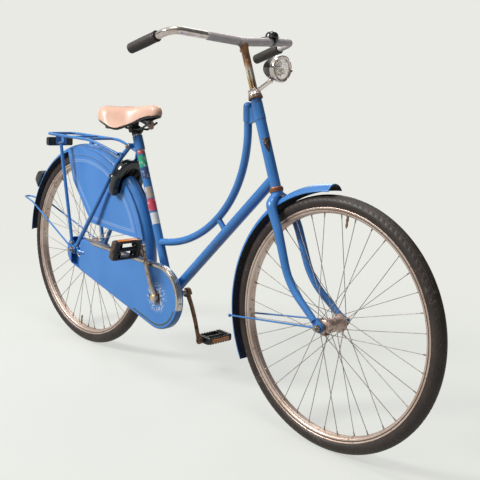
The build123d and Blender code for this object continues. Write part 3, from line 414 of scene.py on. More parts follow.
finish["bar metal"] = two_tone(
    "bar_metal", (0, 1, 0), -0.126, -0.122, ((0.76, 0.69, 0.66), (0.60, 0.50, 0.46), (0.5, 0.4, 0.36)),
    ((0.92, 0.82, 0.79), (0.84, 0.73, 0.70), (0.60, 0.48, 0.44)), (1.0, 0.15), (0.10, 0.42))
finish["stem metal"] = two_tone(
    "stem_metal", (0, 0, 1), 0.135, 0.165, ((0.90, 0.78, 0.66), (0.66, 0.42, 0.20), (0.30, 0.15, 0.07)),
    ((0.40, 0.19, 0.08), (0.13, 0.06, 0.03), (0.58, 0.46, 0.36)), (1.0, 0.4), (0.12, 0.48))
print("made", finish["bar metal"].name, "and", finish["stem metal"].name)

# %% [markdown]
# The skirt guards are painted like the other panels, with painted light on their pressing: a
# painted highlight on the raised lines, and painted shade in the lap, under the raised band and
# along the arch. Noise can't know where those lines are. The surface that draws them will
# therefore keep two numbers at every point, and this paint reads them from the UV map.

# %% Guard paint


def guard_paint():
    """The panel paint, with painted light read from the UV map: the first number is a painted
    highlight on the raised lines, the second is painted shade in the lap, under the band and
    along the arch."""
    material, tree, shader, spot = new_material("guard_paint")
    uv = tree.nodes.new("ShaderNodeUVMap")
    uv.uv_map = "UVMap"
    split = tree.nodes.new("ShaderNodeSeparateXYZ")
    tree.links.new(uv.outputs["UV"], split.inputs[0])
    slow = step(tree, noise(tree, spot, 7.0, 3.0), 0.35, 0.7)
    base = mix(tree, slow, panel_blue, (0.065, 0.245, 0.64))
    dots = step(tree, noise(tree, spot, 95.0, 6.0, 0.62), 0.70, 0.76)
    base = mix(tree, maths(tree, "MULTIPLY", dots, 0.7), base, (0.30, 0.42, 0.62))
    # Painted highlight on the raised lines, then painted shade in the lap, under the band and along the arch.
    base = mix(tree, maths(tree, "MULTIPLY", split.outputs[0], 0.75), base, (0.42, 0.56, 0.78))
    base = mix(tree, maths(tree, "MULTIPLY", split.outputs[1], 0.8), base, (0.025, 0.08, 0.22))
    link(tree, base, shader.inputs["Base Color"])
    fine = noise(tree, spot, 380.0, 3.0)
    link(tree, step(tree, fine, 0.3, 0.75, 0.32, 0.46), shader.inputs["Roughness"])
    clear_coat(shader, 0.15)
    bump(tree, fine, shader, 0.00005, 0.6)
    return material


finish["guard"] = guard_paint()
print("made", finish["guard"].name)

# %% [markdown]
# Shoes and trouser legs rub the chain case where the crank passes, so its paint is chipped in a
# ring round the crank's axle. The distance from that axle says where chips may show, and a sharp
# noise inside the ring draws them.

# %% Chain case paint


def case_paint():
    """The panel paint with bare chips in a ring round the crank: the distance from the crank's
    axis, with its sideways part scaled away, picks where a sharp noise may show."""
    material, tree, shader, spot = new_material("case_paint")
    away = distance(tree, spot, crank_centre, (1, 0, 1))
    ring = maths(tree, "MULTIPLY", step(tree, away, 0.014, 0.024), step(tree, away, 0.058, 0.034))
    chips = step(tree, noise(tree, spot, 150.0, 5.0, 0.6), 0.535, 0.56)
    slow = step(tree, noise(tree, spot, 7.0, 3.0), 0.35, 0.7)
    base = mix(tree, slow, panel_blue, deep_panel_blue)
    dots = step(tree, noise(tree, spot, 120.0, 6.0, 0.62), 0.74, 0.78)
    base = mix(tree, maths(tree, "MULTIPLY", dots, 0.7), base, (0.10, 0.14, 0.24))
    oil = step(tree, away, 0.030, 0.012)
    base = mix(tree, oil, base, (0.20, 0.10, 0.05))
    base = mix(tree, maths(tree, "MULTIPLY", ring, chips), base, (0.72, 0.74, 0.72))
    link(tree, base, shader.inputs["Base Color"])
    fine = noise(tree, spot, 380.0, 3.0)
    link(tree, step(tree, fine, 0.3, 0.75, 0.3, 0.46), shader.inputs["Roughness"])
    clear_coat(shader, 0.15)
    bump(tree, maths(tree, "ADD", fine, maths(tree, "MULTIPLY", chips, -0.5)), shader, 0.00005, 0.6)
    return material


finish["case"] = case_paint()
print("made", finish["case"].name)

# %% [markdown]
# Every plain part gets one finish. The list goes from finish to parts, because a bicycle has few
# finishes and many parts. A part that a finer piece replaces later is listed too, so that its
# slot is never empty.

# %% Give the plain parts their finishes
dress = {
    "paint": "head_tube seat_tube down_tube swan_tube head_lug tube_bridge bracket_shell seat_lug "
    "seat_stay_left seat_stay_right chain_stay_left chain_stay_right fender_bridges fork_steerer "
    "fork_blade_left fork_blade_right front_fender rear_fender luggage_rack rack_stays fender_loop "
    "front_fender_stays",
    "panel": "skirt_guard_left skirt_guard_right",
    "case": "chain_case",
    "chrome": "seat_post lamp_rim lamp_bracket headset_cups case_trim",
    "bar metal": "handlebar",
    "stem metal": "stem",
    "dull chrome": "front_rim rear_rim front_hub rear_hub",
    "steel": "front_spokes rear_spokes front_axle rear_axle crank_axle pedal_spindles",
    "rust": "crank_left crank_right",
    "black": "bell lamp_shell ring_lock saddle_base saddle_rails saddle_clamp pedal_left "
    "pedal_right tail_lamp rack_reflector",
    "rubber": "front_tyre rear_tyre",
    "grip": "grips",
    "vinyl": "saddle_cover",
    "clear": "lamp_lens",
}
for kind, names in dress.items():
    for name in names.split():
        slots = nodes[name].data.materials
        slots.clear()
        slots.append(finish[kind])
print("finished", sum(len(names.split()) for names in dress.values()), "parts")

# %% [markdown]
# ## Surfaces from arrays
# A new piece starts as a grid of points: one direction runs along a path or round an axis, the
# other along a profile. The whole grid is worked out at once with numpy, and neighbouring points
# are joined by four-sided faces. Loops that meet themselves are closed, so no seam is open.

# %% Helpers for grids of points


def unit(vector):
    """A vector divided by its length."""
    return np.asarray(vector, float) / np.linalg.norm(vector)


def full_turn(count):
    """Angles at even steps once round."""
    return np.linspace(0, 2 * np.pi, count, endpoint=False)


def over(points, wrap_rows=False, wrap_columns=False, caps=False, marks=None):
    """Faces over a grid of points: corner (i, j) is joined to its three neighbours at i + 1 and
    j + 1. Returns points, faces and a pair of numbers for each face corner, which become the UV
    map: the place on the grid from 0 to 1, or the marks of the points."""
    rows, columns = points.shape[:2]
    row_count, column_count = rows - (not wrap_rows), columns - (not wrap_columns)
    corners = np.meshgrid(np.arange(row_count), np.arange(column_count), indexing="ij")
    i, j = (corner.ravel() for corner in corners)
    corner_i = np.stack([i, i, i + 1, i + 1], 1)
    corner_j = np.stack([j, j + 1, j + 1, j], 1)
    sides = [(corner_i % rows) * columns + corner_j % columns]
    places = [np.stack([corner_i / row_count, corner_j / column_count], 2)]
    if marks is not None:
        places = [marks[corner_i % rows, corner_j % columns]]
    if caps:
        ends = np.arange(columns)[None]
        sides += [ends[:, ::-1], ends + (rows - 1) * columns]
        places += [np.zeros((1, columns, 2))] * 2
    return points.reshape(-1, 3), sides, places


def put(name, data):
    """A new object in the scene that holds a mesh, a lamp or a camera."""
    holder = bpy.data.objects.new(name, data)
    bpy.context.scene.collection.objects.link(holder)
    return holder


def add_piece(name, parts, finishes, body, replaces=(), angle=35.0, subdivide=0):
    """One mesh from parts made by over(). Points closer than a hundredth of a millimetre are
    merged, which closes seams and poles, and every face is turned outwards."""
    points, faces, places, start = [], [], [], 0
    for part_points, sides, part_places in parts:
        points.append(part_points)
        for side, place in zip(sides, part_places):
            faces += (side + start).tolist()
            places.append(place.reshape(-1, 2))
        start += len(part_points)
    mesh = bpy.data.meshes.new(name)
    mesh.from_pydata(np.concatenate(points).tolist(), [], faces)
    layer = mesh.uv_layers.new(name="UVMap")
    layer.uv.foreach_set("vector", np.concatenate(places).astype(np.float32).ravel())
    work = bmesh.new()
    work.from_mesh(mesh)
    bmesh.ops.remove_doubles(work, verts=work.verts, dist=0.00001)
    bmesh.ops.recalc_face_normals(work, faces=work.faces)
    work.to_mesh(mesh)
    work.free()
    mesh.shade_smooth()
    mesh.set_sharp_from_angle(angle=math.radians(angle))
    piece = put(name, mesh)
    for kind in finishes if isinstance(finishes, (list, tuple)) else [finishes]:
        mesh.materials.append(finish[kind])
    if subdivide:
        smoother = piece.modifiers.new("smooth", "SUBSURF")
        smoother.levels = smoother.render_levels = subdivide
    if replaces:
        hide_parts(*replaces)
    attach(piece, body)
    return piece


def turned(profile, foot, axis, turns=48):
    """A profile of (radius, height) pairs turned round an axis: foot + height times the axis +
    radius times (cos t, sin t) across it."""
    axis = unit(axis)
    side = unit(np.cross(axis, (0.31, 0.87, 0.22) if abs(axis[1]) < 0.9 else (1.0, 0.0, 0.0)))
    t = full_turn(turns)[:, None]
    circle = np.cos(t) * side + np.sin(t) * np.cross(axis, side)
    profile = np.asarray(profile, float)
    points = np.asarray(foot, float) + profile[:, None, 1:] * axis + profile[:, None, :1] * circle[None]
    return over(points, wrap_columns=True)


def face_out(piece, number, outward):
    """Turns an open sheet round where the face of that number looks away from outward."""
    if piece.data.polygons[number].normal.dot(Vector(outward)) < 0:
        piece.data.flip_normals()


def sheet(piece, thickness):
    """Gives an open sheet its thickness in metres, inwards from the surface that is drawn."""
    wall = piece.modifiers.new("sheet", "SOLIDIFY")
    wall.thickness = thickness
    wall.offset = -1
    return wall


def eased(points, reach, steps=6):
    """A line with its corners rounded: corner P becomes the curve (1-t)^2 A + 2t(1-t) P + t^2 B,
    where A and B lie at most a reach before and after it."""
    points = np.asarray(points, float)
    corner, back, ahead = points[1:-1], points[:-2] - points[1:-1], points[2:] - points[1:-1]
    back_length = np.linalg.norm(back, axis=1, keepdims=True)
    ahead_length = np.linalg.norm(ahead, axis=1, keepdims=True)
    start = corner + back / back_length * np.minimum(reach, back_length * 0.49)
    stop = corner + ahead / ahead_length * np.minimum(reach, ahead_length * 0.49)
    t = np.linspace(0, 1, steps)[None, :, None]
    curve = (1 - t) ** 2 * start[:, None] + 2 * t * (1 - t) * corner[:, None] + t**2 * stop[:, None]
    return np.concatenate([points[:1], curve.reshape(-1, points.shape[1]), points[-1:]])


def evenly(line, count, closed=False):
    """A line's points resampled at even distances: each coordinate interpolated over the length
    run so far. A closed line has its first point again at the end, which is left out."""
    along = np.concatenate([[0], np.cumsum(np.linalg.norm(np.diff(line, axis=0), axis=1))])
    places = np.linspace(0, along[-1], count, endpoint=not closed)
    return np.stack([np.interp(places, along, line[:, k]) for k in range(line.shape[1])], 1)


def through(points, count, closed=False):
    """A smooth line through points, by the Catmull-Rom cubic between each pair, resampled at
    even distances."""
    points = np.asarray(points, float)
    if closed:
        padded = np.concatenate([points[-1:], points, points[:2]])
    else:
        padded = np.concatenate([2 * points[:1] - points[1:2], points, 2 * points[-1:] - points[-2:-1]])
    a, b, c, d = padded[:-3, None], padded[1:-2, None], padded[2:-1, None], padded[3:, None]
    t = np.linspace(0, 1, 24, endpoint=False)[None, :, None]
    curve = 2 * b + (c - a) * t + (2 * a - 5 * b + 4 * c - d) * t**2 + (3 * b - a - 3 * c + d) * t**3
    curve = 0.5 * curve
    last = points[:1] if closed else points[-1:]
    return evenly(np.concatenate([curve.reshape(-1, points.shape[1]), last]), count, closed)


def circle(radius, sides=16, squash=1.0):
    """Points of a round profile, or an oval one whose second half-width is squash times the first."""
    t = full_turn(sides)
    radius = np.asarray(radius, float)[..., None]
    return np.stack([radius * np.cos(t), squash * radius * np.sin(t)], -1)


def carried(path, profile, up=(0, 1, 0), closed=False, caps=True):
    """A profile carried along a path: path point + first number times (up x tangent) + second
    number times (tangent x up x tangent). The profile may change from point to point."""
    path = np.asarray(path, float)
    tangent = np.roll(path, -1, 0) - np.roll(path, 1, 0) if closed else np.gradient(path, axis=0)
    tangent /= np.linalg.norm(tangent, axis=1, keepdims=True)
    across = np.cross(np.broadcast_to(up, path.shape), tangent)
    across /= np.linalg.norm(across, axis=1, keepdims=True)
    other = np.cross(tangent, across)
    points = path[:, None] + across[:, None] * profile[..., :1] + other[:, None] * profile[..., 1:]
    return over(points, wrap_rows=closed, wrap_columns=True, caps=caps and not closed)


def slab(outline, foot, a, b, c, thick, soft):
    """A flat slab with its two rims rounded: the outline is inset by soft (1 - sin k) at depth
    soft (1 - cos k) from each face. The axes a and b span the outline, c is the thickness."""
    outline = np.asarray(outline, float)
    tangent = np.roll(outline, -1, 0) - np.roll(outline, 1, 0)
    normal = np.stack([tangent[:, 1], -tangent[:, 0]], 1)
    normal /= np.linalg.norm(normal, axis=1, keepdims=True)
    following = np.roll(outline, -1, 0)
    turn = np.sign(np.sum(outline[:, 0] * following[:, 1] - outline[:, 1] * following[:, 0]))
    k = np.linspace(0, np.pi / 2, 5)
    inset = np.concatenate([soft * (1 - np.sin(k)), soft * (1 - np.sin(k[::-1]))])
    depth = np.concatenate([soft * (1 - np.cos(k)), thick - soft * (1 - np.cos(k[::-1]))])
    flat = outline[None] - turn * normal[None] * inset[:, None, None]
    a, b, c = (np.asarray(v, float) for v in (a, b, c))
    points = np.asarray(foot) + (flat[..., :1] * a + flat[..., 1:] * b + depth[:, None, None] * c) * MM
    return over(points, wrap_columns=True, caps=True)


def rounded_box(half_a, half_b, corner, steps=6):
    """A rectangle's outline with round corners: a quarter circle round each corner's centre,
    turned by a right angle from one corner to the next."""
    t = np.linspace(0, np.pi / 2, steps)
    quarter = np.stack([np.cos(t), np.sin(t)], 1) * corner
    centres = [(half_a - corner, half_b - corner), (corner - half_a, half_b - corner),
               (corner - half_a, corner - half_b), (half_a - corner, corner - half_b)]
    corners = []
    for number, centre in enumerate(centres):
        q = number * math.pi / 2
        quarter_turn = np.array([[math.cos(q), math.sin(q)], [-math.sin(q), math.cos(q)]])
        corners.append(quarter @ quarter_turn + centre)
    return np.concatenate(corners)


def lathe(profile, foot, axis, turns=48, reach=0.0, steps=3):
    """turned() for a profile in millimetres, whose corners are eased by a reach."""
    profile = eased(profile, reach, steps) if reach else np.array(profile)
    return turned(profile * MM, foot, axis, turns)


def wave(value, low, high):
    """A smooth rise from 0 at low to 1 at high."""
    t = np.clip((value - low) / (high - low), 0, 1)
    return t * t * (3 - 2 * t)


def ridge(value, middle, width):
    """A smooth bump that is 1 at the middle and fades over a width."""
    return np.exp(-(((value - middle) / width) ** 2))


print("made the helpers for surfaces")


# %% [markdown]
# ## Tyres
# A tyre is a rubber tube moulded with a tread: running grooves round the crown and small slanted
# cuts on the shoulders. A displacement texture could give it, but the grooves are simple sums of
# bumps, so the tyre is one surface in two angles, round the wheel and round the section, and the
# groove depth is taken off its radius.

# %% Tyres
tyre_cuts = 120
bead_angle = 139


def tyre_surface(centre):
    """centre + (R cos t, r sin a, R sin t) with R = core + r cos a, where the section's radius r
    loses depth at running grooves in a, and at slanted cuts where cos(tyre_cuts t + 5 a) is near
    1. Nearer the crown cos(tyre_cuts t +- 4) does the same, out of step on the two sides."""
    t = full_turn(720)[:, None]
    a = np.linspace(math.radians(-bead_angle), math.radians(bead_angle), 61)[None]
    degrees = np.degrees(np.abs(a))
    grooves = ridge(degrees, 9, 2.2) + ridge(degrees, 27, 2.2) + 0.8 * ridge(degrees, 45, 2.5)
    shoulder = wave(degrees, 46, 50) * (1 - wave(degrees, 68, 74))
    cuts = wave(np.cos(tyre_cuts * t + 5 * np.abs(a)), 0.35, 0.85) * shoulder
    crown = wave(degrees, 9, 11) * (1 - wave(degrees, 24, 27))
    blocks = wave(np.cos(tyre_cuts * t + np.sign(a) * 4), 0.55, 0.9) * crown
    rim_line = ridge(degrees, 121, 3.0) * 0.5
    depth = (1.2 * np.minimum(grooves, 1) + 1.0 * cuts + 0.6 * blocks - rim_line) * MM
    r = tyre_half_width - 0.2 * MM - depth
    core = wheel_radius - tyre_half_width
    big = core + r * np.cos(a)
    x, y, z = big * np.cos(t), r * np.sin(a), big * np.sin(t)
    points = np.stack([centre[0] + x, centre[1] + y, centre[2] + z], 2)
    return over(points, wrap_rows=True, wrap_columns=True)


for wheel, centre in axles.items():
    add_piece(wheel + "_tyre_tread", [tyre_surface(centre)], "rubber", wheel + "_wheel",
              replaces=(wheel + "_tyre",), angle=50)
print("tyres", round(tyre_half_width * 2000), "mm wide")

# %% [markdown]
# ## Rims, spokes and hubs
# The rims are rolled from steel strip, with a bead at each edge, upright flanks and a shallow
# well that carries the spokes. A profile turned round the axle gives exactly that. A narrow dark
# ring of painted shade lies in the groove under each bead and is a turned profile of its own.

# %% Rims
rim_half = [
    (0.0, 302.4), (10.0, 303.4), (12.6, 306.5), (12.9, 314.6), (13.3, 316.8), (14.3, 317.6), (15.4, 317.1),
    (16.0, 315.9), (15.7, 314.5), (14.9, 313.3), (14.6, 311.0), (14.9, 308.6), (14.5, 306.2), (13.2, 304.0),
    (11.3, 302.4), (9.4, 301.9), (8.2, 302.3), (7.2, 301.8), (5.4, 300.5), (2.6, 300.1), (0.0, 300.0)]
rim_half = eased(rim_half, 0.5, 3) * MM
rim_profile = np.concatenate([rim_half, rim_half[::-1] * (-1, 1)])
# A dark brown ring of painted shade in the groove under each bead.
groove_half = np.array([(309.6, 14.2), (311.6, 14.2), (312.0, 14.75), (310.6, 14.95), (309.3, 14.85),
                        (309.6, 14.2)])
for wheel, centre in axles.items():
    rim = turned(rim_profile[:, ::-1], centre, leftward, turns=216)
    add_piece(wheel + "_rim_strip", [rim], "dull chrome", wheel + "_wheel",
              replaces=(wheel + "_rim",), angle=40)
    grooves = [lathe(groove_half[::s] * (1, s), centre, leftward, turns=160) for s in (-1, 1)]
    add_piece(wheel + "_rim_grooves", grooves, "groove", wheel + "_wheel", angle=60)
print("rim", round(2 * float(rim_half[:, 0].max()) / MM, 1), "mm wide")

# %% [markdown]
# Each wheel has 36 spokes, which cross each other on each side so that the hub can pull the rim
# round. Each spoke is a wire with a bent head behind the hub's flange and a nipple at the rim.
# All of them are one thin profile carried along short lines, whose ends come from two angles:
# one at the hub and one at the rim.

# %% Spokes and nipples
holes_a_side = 18
rim_seat = 300.0
flange_margin = 4.3
half_flange = 1.3
wire_radius = 1.0
wire_gap = 0.3


def lacing(centre, hub_circle, spread):
    """Ends of the crossed spokes as arrays: the head and the foot at the flange, and the tip at
    the rim. Every second spoke leans the other way, three flange holes round. A foot stands off
    its flange by the wire and as much again as the spoke's slant needs at the flange's edge."""
    number = np.tile(np.arange(holes_a_side), 2)
    side = np.repeat([-1.0, 1.0], holes_a_side)
    lean = np.where(number % 2, 1.0, -1.0)
    pitch = 360 / holes_a_side
    foot_angle = np.radians(pitch * number + np.where(side > 0, pitch / 2, 0.0))
    tip_angle = foot_angle + lean * np.radians(3 * pitch)
    flange = side * spread / 2
    lift = half_flange + wire_radius + wire_gap + flange_margin * spread / 2 / rim_seat * 1.6

    def around(radius, angle, y):
        """Points at a radius and an angle round the axle, y millimetres to the left of it."""
        return centre + np.stack([radius * np.cos(angle), y + 0 * angle, radius * np.sin(angle)], 1) * MM

    head = around(hub_circle - 0.6, foot_angle, flange - lean * 2 * half_flange)
    foot = around(hub_circle, foot_angle, flange + lean * lift)
    tip = around(rim_seat - 0.4, tip_angle, side * 3.0)
    return head, foot, tip


flange_edge = {wheel: box_size(wheel + "_hub")[2] / 2 / MM for wheel in axles}
flange_spread = {"rear": 58.0, "front": 66.0}
spoke_head = [(0, -0.8), (1.6, -0.6), (1.9, 0.0), (1.6, 0.6), (0, 0.9)]
nipple = [(0, -0.4), (2.6, -0.2), (2.6, 0.8), (1.9, 1.4), (1.8, 8), (1.3, 11), (0, 11)]
for wheel, centre in axles.items():
    ends = lacing(centre, flange_edge[wheel] - flange_margin, flange_spread[wheel])
    wires, nipples = [], []
    for head, foot, tip in zip(*ends):
        run = unit(tip - foot)
        path = np.array([head, head + (foot - head) * 0.55, foot + run * 0.0016, foot + run * 0.005, tip])
        radius = np.full(len(path), wire_radius * MM)
        wires.append(carried(path, circle(radius, 6), up=unit(np.cross(run, leftward))))
        wires.append(lathe(spoke_head, head, foot - head, turns=8))
        nipples.append(lathe(nipple, tip, -run, turns=8))
    add_piece(wheel + "_spoke_wires", wires, "spoke", wheel + "_wheel",
              replaces=(wheel + "_spokes",), angle=60)
    add_piece(wheel + "_nipples", nipples, "steel", wheel + "_wheel")
print("spokes in a wheel", len(nipples))

# %% [markdown]
# A hub shell is a barrel that widens at both ends to a flange for the spokes and narrows again
# to the bearing's dust cap. It is turned on the real one too, so half a profile, its mirror image
# and one turn make it. A spring clip and a small oiler sit on the barrel.

# %% Hubs


def hub_profile(barrel, edge, spread, half):
    """Half of a hub shell as (radius, height): a barrel that widens to a rounded flange."""
    face = spread / 2
    cap = max(barrel, 15.5)
    return [(barrel - 0.6, 0), (barrel - 0.6, face - 12), (barrel + 0.6, face - 6), (barrel + 3, face - 2.4),
            (edge - 2, face - 1.3), (edge - 0.5, face - 1.1), (edge, face), (edge - 0.5, face + 1.1),
            (edge - 2, face + 1.3), (cap - 0.5, face + 1.5), (cap - 2.5, face + 3), (12.5, half - 1.2),
            (11.5, half), (8.8, half), (8.4, half - 2), (5.6, half - 2.4), (5.6, 0)]


barrel_radius = {"front": 20.0, "rear": 27.0}
half_length = {"front": 38.0, "rear": 48.0}
oiler_way = (0.35, 0, 0.94)
for wheel, barrel in barrel_radius.items():
    centre = axles[wheel]
    half = np.array(hub_profile(barrel, flange_edge[wheel], flange_spread[wheel], half_length[wheel]))
    shell = lathe(np.concatenate([half, half[::-1] * (1, -1)]), centre, leftward, turns=72)
    clip = lathe([(barrel - 0.4, -5), (barrel + 0.6, -4.6), (barrel + 0.6, 4.6), (barrel - 0.4, 5)],
                 centre, leftward, turns=48)
    oiler = lathe([(0, barrel - 1), (3, barrel - 1), (3, barrel + 2.2), (2, barrel + 3), (0, barrel + 3)],
                  centre, oiler_way, turns=16)
    add_piece(wheel + "_hub_shell", [shell, clip, oiler], "dull chrome", wheel + "_wheel",
              replaces=(wheel + "_hub",), angle=40)
print("hub flanges", [round(2 * edge, 1) for edge in flange_edge.values()], "mm")

# %% [markdown]
# The valve is a brass stem through the rim, with a nut against the rim, a cap and a thin pin.
# All of it is round, so it is one more turned profile, which points from the rim to the axle.

# %% Valves
valve = [(0, -1), (5, -1), (5, 0.6), (4.4, 1.4), (3.4, 1.8), (3.4, 9), (4.2, 9.4), (4.2, 13), (3.2, 14),
         (3.0, 21), (3.5, 21.5), (3.5, 28), (2.6, 30), (1.8, 30.4), (1.8, 33.5), (0, 34.5)]
valve_turn = {"front": 85.5, "rear": 262.0}
for wheel, degrees in valve_turn.items():
    out = wheel_way(degrees)
    foot = axles[wheel] + out * (rim_seat + 0.5) * MM
    add_piece(wheel + "_valve", [lathe(valve, foot, -out, turns=20)], "valve", wheel + "_wheel",
              angle=40)
print("valves at", valve_turn)

# %% [markdown]
# ## Fenders
# A fender is a strip of sheet steel rolled into an arch and bent round the wheel, with a raised
# crown line. It is painted outside, and inside it is a dark navy of painted shade with brown road
# dirt. The outer skin is a grid in two angles; Solidify then gives the sheet its thickness and
# puts the dark finish inside.

# %% Fenders
fender_radius = 378.0
fender_half_width = 28.5
fender_depth = 20.0
fender_half_turn = 70.1
arch = (fender_half_width**2 + fender_depth**2) / (2 * fender_depth)
sheet_thickness = 1.1


def fender_surface(centre, start, stop, narrow_from=-90.0):
    """The wheel's arch: at angle t round the axle and angle s across the section, the point lies
    at radius R - arch + q cos s and to the left by q sin s. Here q is the arch's radius, less a
    step beside the crown line and with a lip at the edge. Below an angle the arch is pinched a
    little, where the stays pass it."""
    t = np.radians(np.linspace(start, stop, int(abs(stop - start)) + 1))[:, None]
    s = np.radians(np.linspace(-fender_half_turn, fender_half_turn, 41))[None]
    step_down = 0.7 * wave(np.abs(np.degrees(s)), 9, 14)
    lip = 0.5 * ridge(np.abs(np.degrees(s)), 67, 3)
    q = arch - step_down + lip
    pinch = 1 - 0.24 * (1 - wave(np.degrees(t), narrow_from, narrow_from + 12))
    height = fender_radius - arch + q * np.cos(s)
    points = np.stack([height * np.cos(t), pinch * q * np.sin(s), height * np.sin(t)], 2) * MM
    return over(points + centre)


def add_fender(name, start, stop, narrow_from=-90.0):
    """A fender from one angle to another, painted outside, with painted shade and dirt inside."""
    centre = axles[name.split("_")[0]]
    body = {"rear_fender": "frame", "front_fender": "fork"}[name]
    skin = [fender_surface(centre, start, stop, narrow_from)]
    piece = add_piece(name + "_skin", skin, ["paint", "underside"], body, replaces=(name,), angle=50)
    middle = len(piece.data.polygons) // 2
    face_out(piece, middle, piece.data.polygons[middle].center - Vector(centre))
    wall = sheet(piece, sheet_thickness * MM)
    wall.material_offset = 1
    wall.material_offset_rim = 0


add_fender("rear_fender", -9, 178.5, narrow_from=-9)
add_fender("front_fender", 94, 210)
print("fender crown radius", fender_radius, "mm")

# %% [markdown]
# ## Skirt guards
# The guards are pressed panels that keep a coat out of the wheel. The pressing shows as a raised
# band along the arch, a lap near the rear where a second strip starts, and ahead of the lap a
# double line that follows the edges. The panel is a grid in angle and distance from the axle,
# between the lower edge and the arch, and the pressing is height added sideways.

# %% Skirt guards
guard_outer = 366.0
guard_face = 28.9
guard_thickness = 0.9
band_width = 27.0
line_places = (17.0, 23.0)
guard_turn = (14.9, 107.3)
guard_corners = np.array([(-150.0, 455.0), (-72.0, 243.0), (50.0, 103.0), (211.0, 95.0), (355.0, 93.0)])


def guard_surface(side):
    """Point r (cos t, sin t) from the axle, with r from the lower edge to the arch. The lower
    edge is where the ray at t crosses the corner line: r = cross(A, B - A) / cross(u, B - A).
    Rows crowd towards both edges, by f - 0.6 sin(2 pi f) / 2 pi, where the fine lines are.
    Returns the surface with a pair of marks: a painted highlight on the raised lines, and painted
    shade in the lap, under the band and along the arch."""
    t = np.radians(np.linspace(*guard_turn, 290))[:, None]
    ray = np.stack([np.cos(t[:, 0]), np.sin(t[:, 0])], 1)[:, None]
    a, b = guard_corners[None, :-1], guard_corners[None, 1:]
    run = b - a
    a_cross_run = a[..., 0] * run[..., 1] - a[..., 1] * run[..., 0]
    crossing = a_cross_run / (ray[..., 0] * run[..., 1] - ray[..., 1] * run[..., 0])
    spot = ray * crossing[..., None]
    share = ((spot - a) * run).sum(-1) / (run**2).sum(-1)
    met = (share >= -0.001) & (share <= 1.001) & (crossing > 0)
    low = np.where(met, crossing, np.inf).min(1)[:, None]
    low = np.minimum(low, guard_outer - 0.5)
    f = np.linspace(0, 1, 118)[None]
    f = f - 0.6 * np.sin(2 * np.pi * f) / (2 * np.pi)
    r = low + (guard_outer - low) * f
    x, z = r * np.cos(t), r * np.sin(t)
    normal = np.stack([-run[0, :, 1], run[0, :, 0]], 1) / np.linalg.norm(run[0], axis=1, keepdims=True)
    away = [(x - a[0, k, 0]) * normal[k, 0] + (z - a[0, k, 1]) * normal[k, 1] for k in (1, 2, 3)]
    lower = np.abs(away).min(0)
    arch_line = guard_outer - band_width - r
    inner = np.minimum(lower, arch_line)
    fold = x + 77 + 0.02 * (z - 300)
    ahead = wave(fold, -1.2, 1.2)
    lines = (ridge(inner, line_places[0], 1.3) + ridge(inner, line_places[1], 1.3)) * ahead
    band = wave(guard_outer - r, band_width, band_width - 3.0)
    edge = ridge(np.minimum(lower, guard_outer - r), 0, 3.0)
    pillow = 0.9 * wave(inner, 24, 90) * ahead
    height = guard_face + 0.9 * band + 0.5 * lines - 0.9 * ridge(fold, -2.0, 3.0) + 0.5 * edge + pillow
    points = np.stack([x, side * height, z], 2) * MM + rear_axle
    # Painted light: pale is a painted highlight on the raised lines and the band's lower edge; dark is
    # painted shade in the lap, under the band and along the arch's rim, stronger towards the front.
    pale = np.clip(lines + 0.5 * ridge(guard_outer - r, 25.5, 1.5), 0, 1)
    arch_shade = wave(x, -40, 160) * ahead
    band_painted_shade = (0.4 + 0.5 * arch_shade) * ridge(guard_outer - r, 29.0, 2.0) * ahead
    rim_painted_shade = arch_shade * ridge(guard_outer - r, 1.5, 3.0)
    dark = np.clip(ridge(fold, -1.5, 3.0) + band_painted_shade + rim_painted_shade, 0, 1)
    return over(points, marks=np.stack([pale, dark], 2))


for name, side in (("left", 1), ("right", -1)):
    panel = add_piece("skirt_guard_" + name + "_pressing", [guard_surface(side)], "guard", "frame",
                      replaces=("skirt_guard_" + name,), angle=60)
    face_out(panel, len(panel.data.polygons) // 4, leftward * side)
    sheet(panel, guard_thickness * MM)
print("guard reaches", guard_outer, "mm from the axle")

# %% [markdown]
# ## Chain case trim
# The case is closed with a bright pressed band round its front edge, with two ridges along it,
# and its front cover meets the long part in a dark seam. The band is a profile carried round the
# outline, which is made of two circles and the straight lines that touch both.

# %% Chain case outline
case_front = np.array([crank_centre[0], crank_centre[2]])
case_tail = np.array([rear_axle[0], rear_axle[2] - 0.007])
front_radius = 0.105
tail_radius = 0.054
band_y = -0.0520
cover_y = -0.0621


def case_line(offset, count=400):
    """The case's outline at an offset in metres: for each direction u, the circle whose
    centre dot u + radius is larger, which gives both arcs; straight runs come from resampling."""
    angle = full_turn(1440)
    u = np.stack([np.cos(angle), np.sin(angle)], 1)
    front = case_front @ u.T + front_radius + offset
    tail = case_tail @ u.T + tail_radius + offset
    front_circle = case_front + u * (front_radius + offset)
    tail_circle = case_tail + u * (tail_radius + offset)
    points = np.where((front > tail)[:, None], front_circle, tail_circle)
    return evenly(np.concatenate([points, points[:1]]), count, closed=True)


def case_path(offset, y, start_x, stop_z, count=160):
    """The stretch of the outline from start_x on the top edge, round the front, down to stop_z,
    put in order by its falling angle round the crank."""
    line = case_line(offset, 1200)
    top = (line[:, 1] > case_front[1]) & (line[:, 0] > start_x)
    front = (line[:, 0] > case_front[0]) & (line[:, 1] > stop_z)
    kept = line[top | front] - case_front
    kept = kept[np.argsort(-np.degrees(np.arctan2(kept[:, 1], kept[:, 0])))] + case_front
    flat = evenly(kept, count)
    return np.stack([flat[:, 0], np.full(count, y), flat[:, 1]], 1)


print("case from", round(case_line(0)[:, 0].min(), 3), "to", round(case_line(0)[:, 0].max(), 3))
